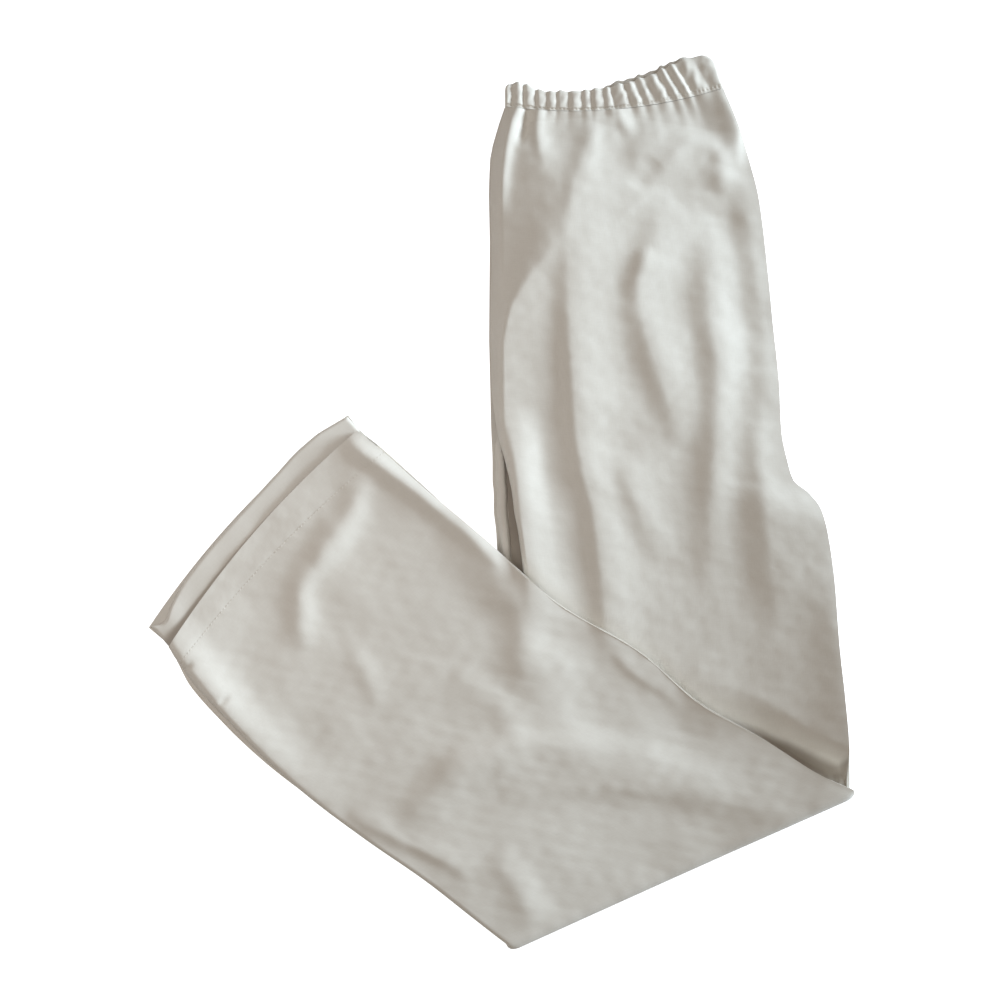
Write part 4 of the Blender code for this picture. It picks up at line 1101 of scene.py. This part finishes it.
def band_top(across, up, low, base, gathered, extra):
    """The casing's upper face, over low. base is its thickness, and gathered is 1 where it has gathers."""
    x, y, gather, curl = band_plan(across, up, extra)
    lumps = BAND_LUMPS * dents(x, y, *LUMP_LENGTHS, BAND_SEED)
    stitched = np.exp(-(((up - STITCH_UP) / STITCH_DIP_WIDTH) ** 2))
    beads = 0.5 + 0.5 * np.cos(2 * math.pi * across * BAND_LENGTH / STITCH_PITCH)
    pucker = stitched * (STITCH_DIP + PUCKER * (1 - beads))
    ends = quarter_round(np.minimum(across, 1 - across) * BAND_LENGTH, BAND_ENDS)
    whole = BAND_END_SHARE + (1 - BAND_END_SHARE) * ends
    swell = base + gathered * (gather + lumps - pucker) - BAND_EDGE
    top = low + BAND_EDGE + swell * np.interp(up, *BAND_PROFILE) * whole + extra * curl
    return grid(x, y, np.maximum(top, low + BAND_EDGE))


def make_casing(name, low, base, gathered, extra, columns, material):
    """One layer of the casing over low, its words as band_top and band_plan say."""
    across = np.linspace(0, 1, columns)
    # Rows up it lie close together at the stitches
    up = np.concatenate([np.linspace(0, 0.18, 12)[:-1], np.linspace(0.18, 1, 28)])[:, None]
    top = band_top(across, up, low, base, gathered, extra)
    bottom = top.copy()
    bottom[:, :, 2] = low
    # painted shade on the back casing's rim, where it shows above the front casing's top
    rim = cubic(BAND_TABLE[:, 0], BAND_TABLE[:, 3], across * BAND_LENGTH)
    shaded = BAND_PAINTED_SHADE * extra * smoothstep((rim - BAND_SHADE_FROM) / BAND_SHADE_OVER)
    return shell(name, top, bottom, material, np.broadcast_to(shaded, (len(up), columns)))


linen_cloth = linen("linen")
linen_thread = thread()
right_front = make_right_front(linen_cloth)
left_front, left_lower, left_rows = make_left_front(linen_cloth)
left_back = make_back("left_back_cloth", LEFT_BACK_DEPTH, left_back_inset, BACK_TUCK, linen_cloth)
right_back = make_back("right_back_cloth", RIGHT_BACK_DEPTH, right_back_inset, 0.0, linen_cloth)
right_hem = make_right_hem(linen_cloth)
backs_low = BAND_WALL + GAP
front_low = backs_low + BAND_CORE + GAP
casing_left = make_casing(
    "left_front_casing", low=0.0, base=BAND_WALL, gathered=0.0, extra=0.0, columns=90, material=linen_cloth)
casing_backs = make_casing(
    "back_casing", low=backs_low, base=BAND_CORE, gathered=0.0, extra=1.0, columns=240, material=linen_cloth)
casing_right = make_casing(
    "right_front_casing", low=front_low, base=BAND_LOW, gathered=1.0, extra=0.0, columns=520,
    material=linen_cloth)

stitches = stitch_nodes()
stitched_across = np.linspace(STITCH_ENDS, 1 - STITCH_ENDS, CASING_LINE_POINTS)
casing_line = band_top(stitched_across, np.array([[STITCH_UP]]), front_low, BAND_LOW, 1.0, 0.0)[0]
casing_line = casing_line + (0, 0, CASING_THREAD_UP)
casing_stitches = make_stitches("casing_stitches", casing_line, stitches, linen_thread)
hem_row = left_lower[np.abs(left_rows - LEFT_END + HEM_DEPTH).argmin(), ROLL_STEPS:-ROLL_STEPS]
hem_stitches = make_stitches("hem_stitches", hem_row + (0, 0, HEM_THREAD_UP), stitches, linen_thread)

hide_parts("right_front_panel")
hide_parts("left_front_panel")
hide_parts("back_panels")
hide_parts("back_panels")
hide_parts("right_leg_hem")
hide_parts("waistband_left_front")
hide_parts("waistband_backs")
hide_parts("waistband_right_front")
for piece in (right_front, left_front, left_back, right_back, right_hem, hem_stitches):
    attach(piece, "root")
for piece in (casing_left, casing_backs, casing_right, casing_stitches):
    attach(piece, "root")


# Stage


FLOOR_COLOUR, FLOOR_GLOW = (0.86, 0.86, 0.86, 1.0), (0.97, 0.97, 0.975, 1.0)
FLOOR_HALF, FLOOR_DROP = 3.0, 0.0003  # half its width, and how far it lies below the cloth, in metres
SURROUND, SURROUND_STRENGTH = (1.0, 0.92, 0.82, 1.0), 0.275
CAMERA_PLACE = 0.0004, 0.0006, 2.4
SENSOR = 36.0
VIEW = 0.82  # width of what the camera sees, in metres
VIEW_HEIGHT = 0.01  # at this height over the floor


def pale_floor():
    """A pale floor that looks evenly lit to the camera, and gives back only the light that falls on it."""
    material = bpy.data.materials.new("pale_floor")
    material.use_nodes = True
    plain = material.node_tree.nodes["Principled BSDF"]
    plain.inputs["Base Color"].default_value = FLOOR_COLOUR
    plain.inputs["Roughness"].default_value = 0.9
    tree = Tree(material.node_tree)
    lit = Value(tree, plain.outputs["BSDF"])
    glow = tree.node("ShaderNodeEmission", {}, {"Color": FLOOR_GLOW, "Strength": 1.0})["Emission"]
    both = tree.node("ShaderNodeAddShader", {}, {0: glow, 1: lit})["Shader"]
    seen = tree.node("ShaderNodeLightPath")["Is Camera Ray"]
    mixed = tree.node("ShaderNodeMixShader", {}, {0: seen, 1: lit, 2: both})["Shader"]
    output = material.node_tree.nodes["Material Output"]
    material.node_tree.links.new(mixed.socket, output.inputs["Surface"])
    return material


def make_floor():
    mesh = bpy.data.meshes.new("floor")
    corners = [(FLOOR_HALF * x, FLOOR_HALF * y, 0) for x, y in ((-1, -1), (1, -1), (1, 1), (-1, 1))]
    mesh.from_pydata(corners, [], [(0, 1, 2, 3)])
    mesh.materials.append(pale_floor())
    floor = bpy.data.objects.new("floor", mesh)
    floor.location.z = -FLOOR_DROP
    bpy.context.scene.collection.objects.link(floor)


def make_light(name, place, aim, size, power, colour, spread):
    data = bpy.data.lights.new(name, "AREA")
    data.spread = math.radians(spread)
    data.shape = "RECTANGLE"
    data.size, data.size_y = size
    data.energy = power
    data.color = colour
    light = bpy.data.objects.new(name, data)
    light.location = place
    light.visible_camera = False
    light.rotation_euler = (Vector(aim) - Vector(place)).to_track_quat("-Z", "Y").to_euler()
    bpy.context.scene.collection.objects.link(light)


def make_camera():
    """Straight above the middle of the pair, looking down."""
    data = bpy.data.cameras.new("camera")
    data.sensor_width = SENSOR
    data.lens = SENSOR * (CAMERA_PLACE[2] - VIEW_HEIGHT) / VIEW
    camera = bpy.data.objects.new("camera", data)
    camera.location = CAMERA_PLACE
    bpy.context.scene.collection.objects.link(camera)
    bpy.context.scene.camera = camera


def make_world():
    world = bpy.data.worlds.new("studio")
    world.use_nodes = True
    background = world.node_tree.nodes["Background"]
    background.inputs["Color"].default_value = SURROUND
    background.inputs["Strength"].default_value = SURROUND_STRENGTH
    bpy.context.scene.world = world


make_floor()
make_light(
    "window", place=(5.56, 1.81, 1.32), aim=(0.0, 0.1, 0.0), size=(2.4, 1.6),
    power=650, colour=(0.72, 0.87, 1.0), spread=180)
make_light(
    "ceiling", place=(-0.36, 0.10, 0.70), aim=(-0.20, 0.02, 0.0), size=(0.6, 0.6),
    power=0.95, colour=(0.95, 0.96, 1.0), spread=120)
make_world()
make_camera()
bpy.context.scene.view_settings.view_transform = "Standard"
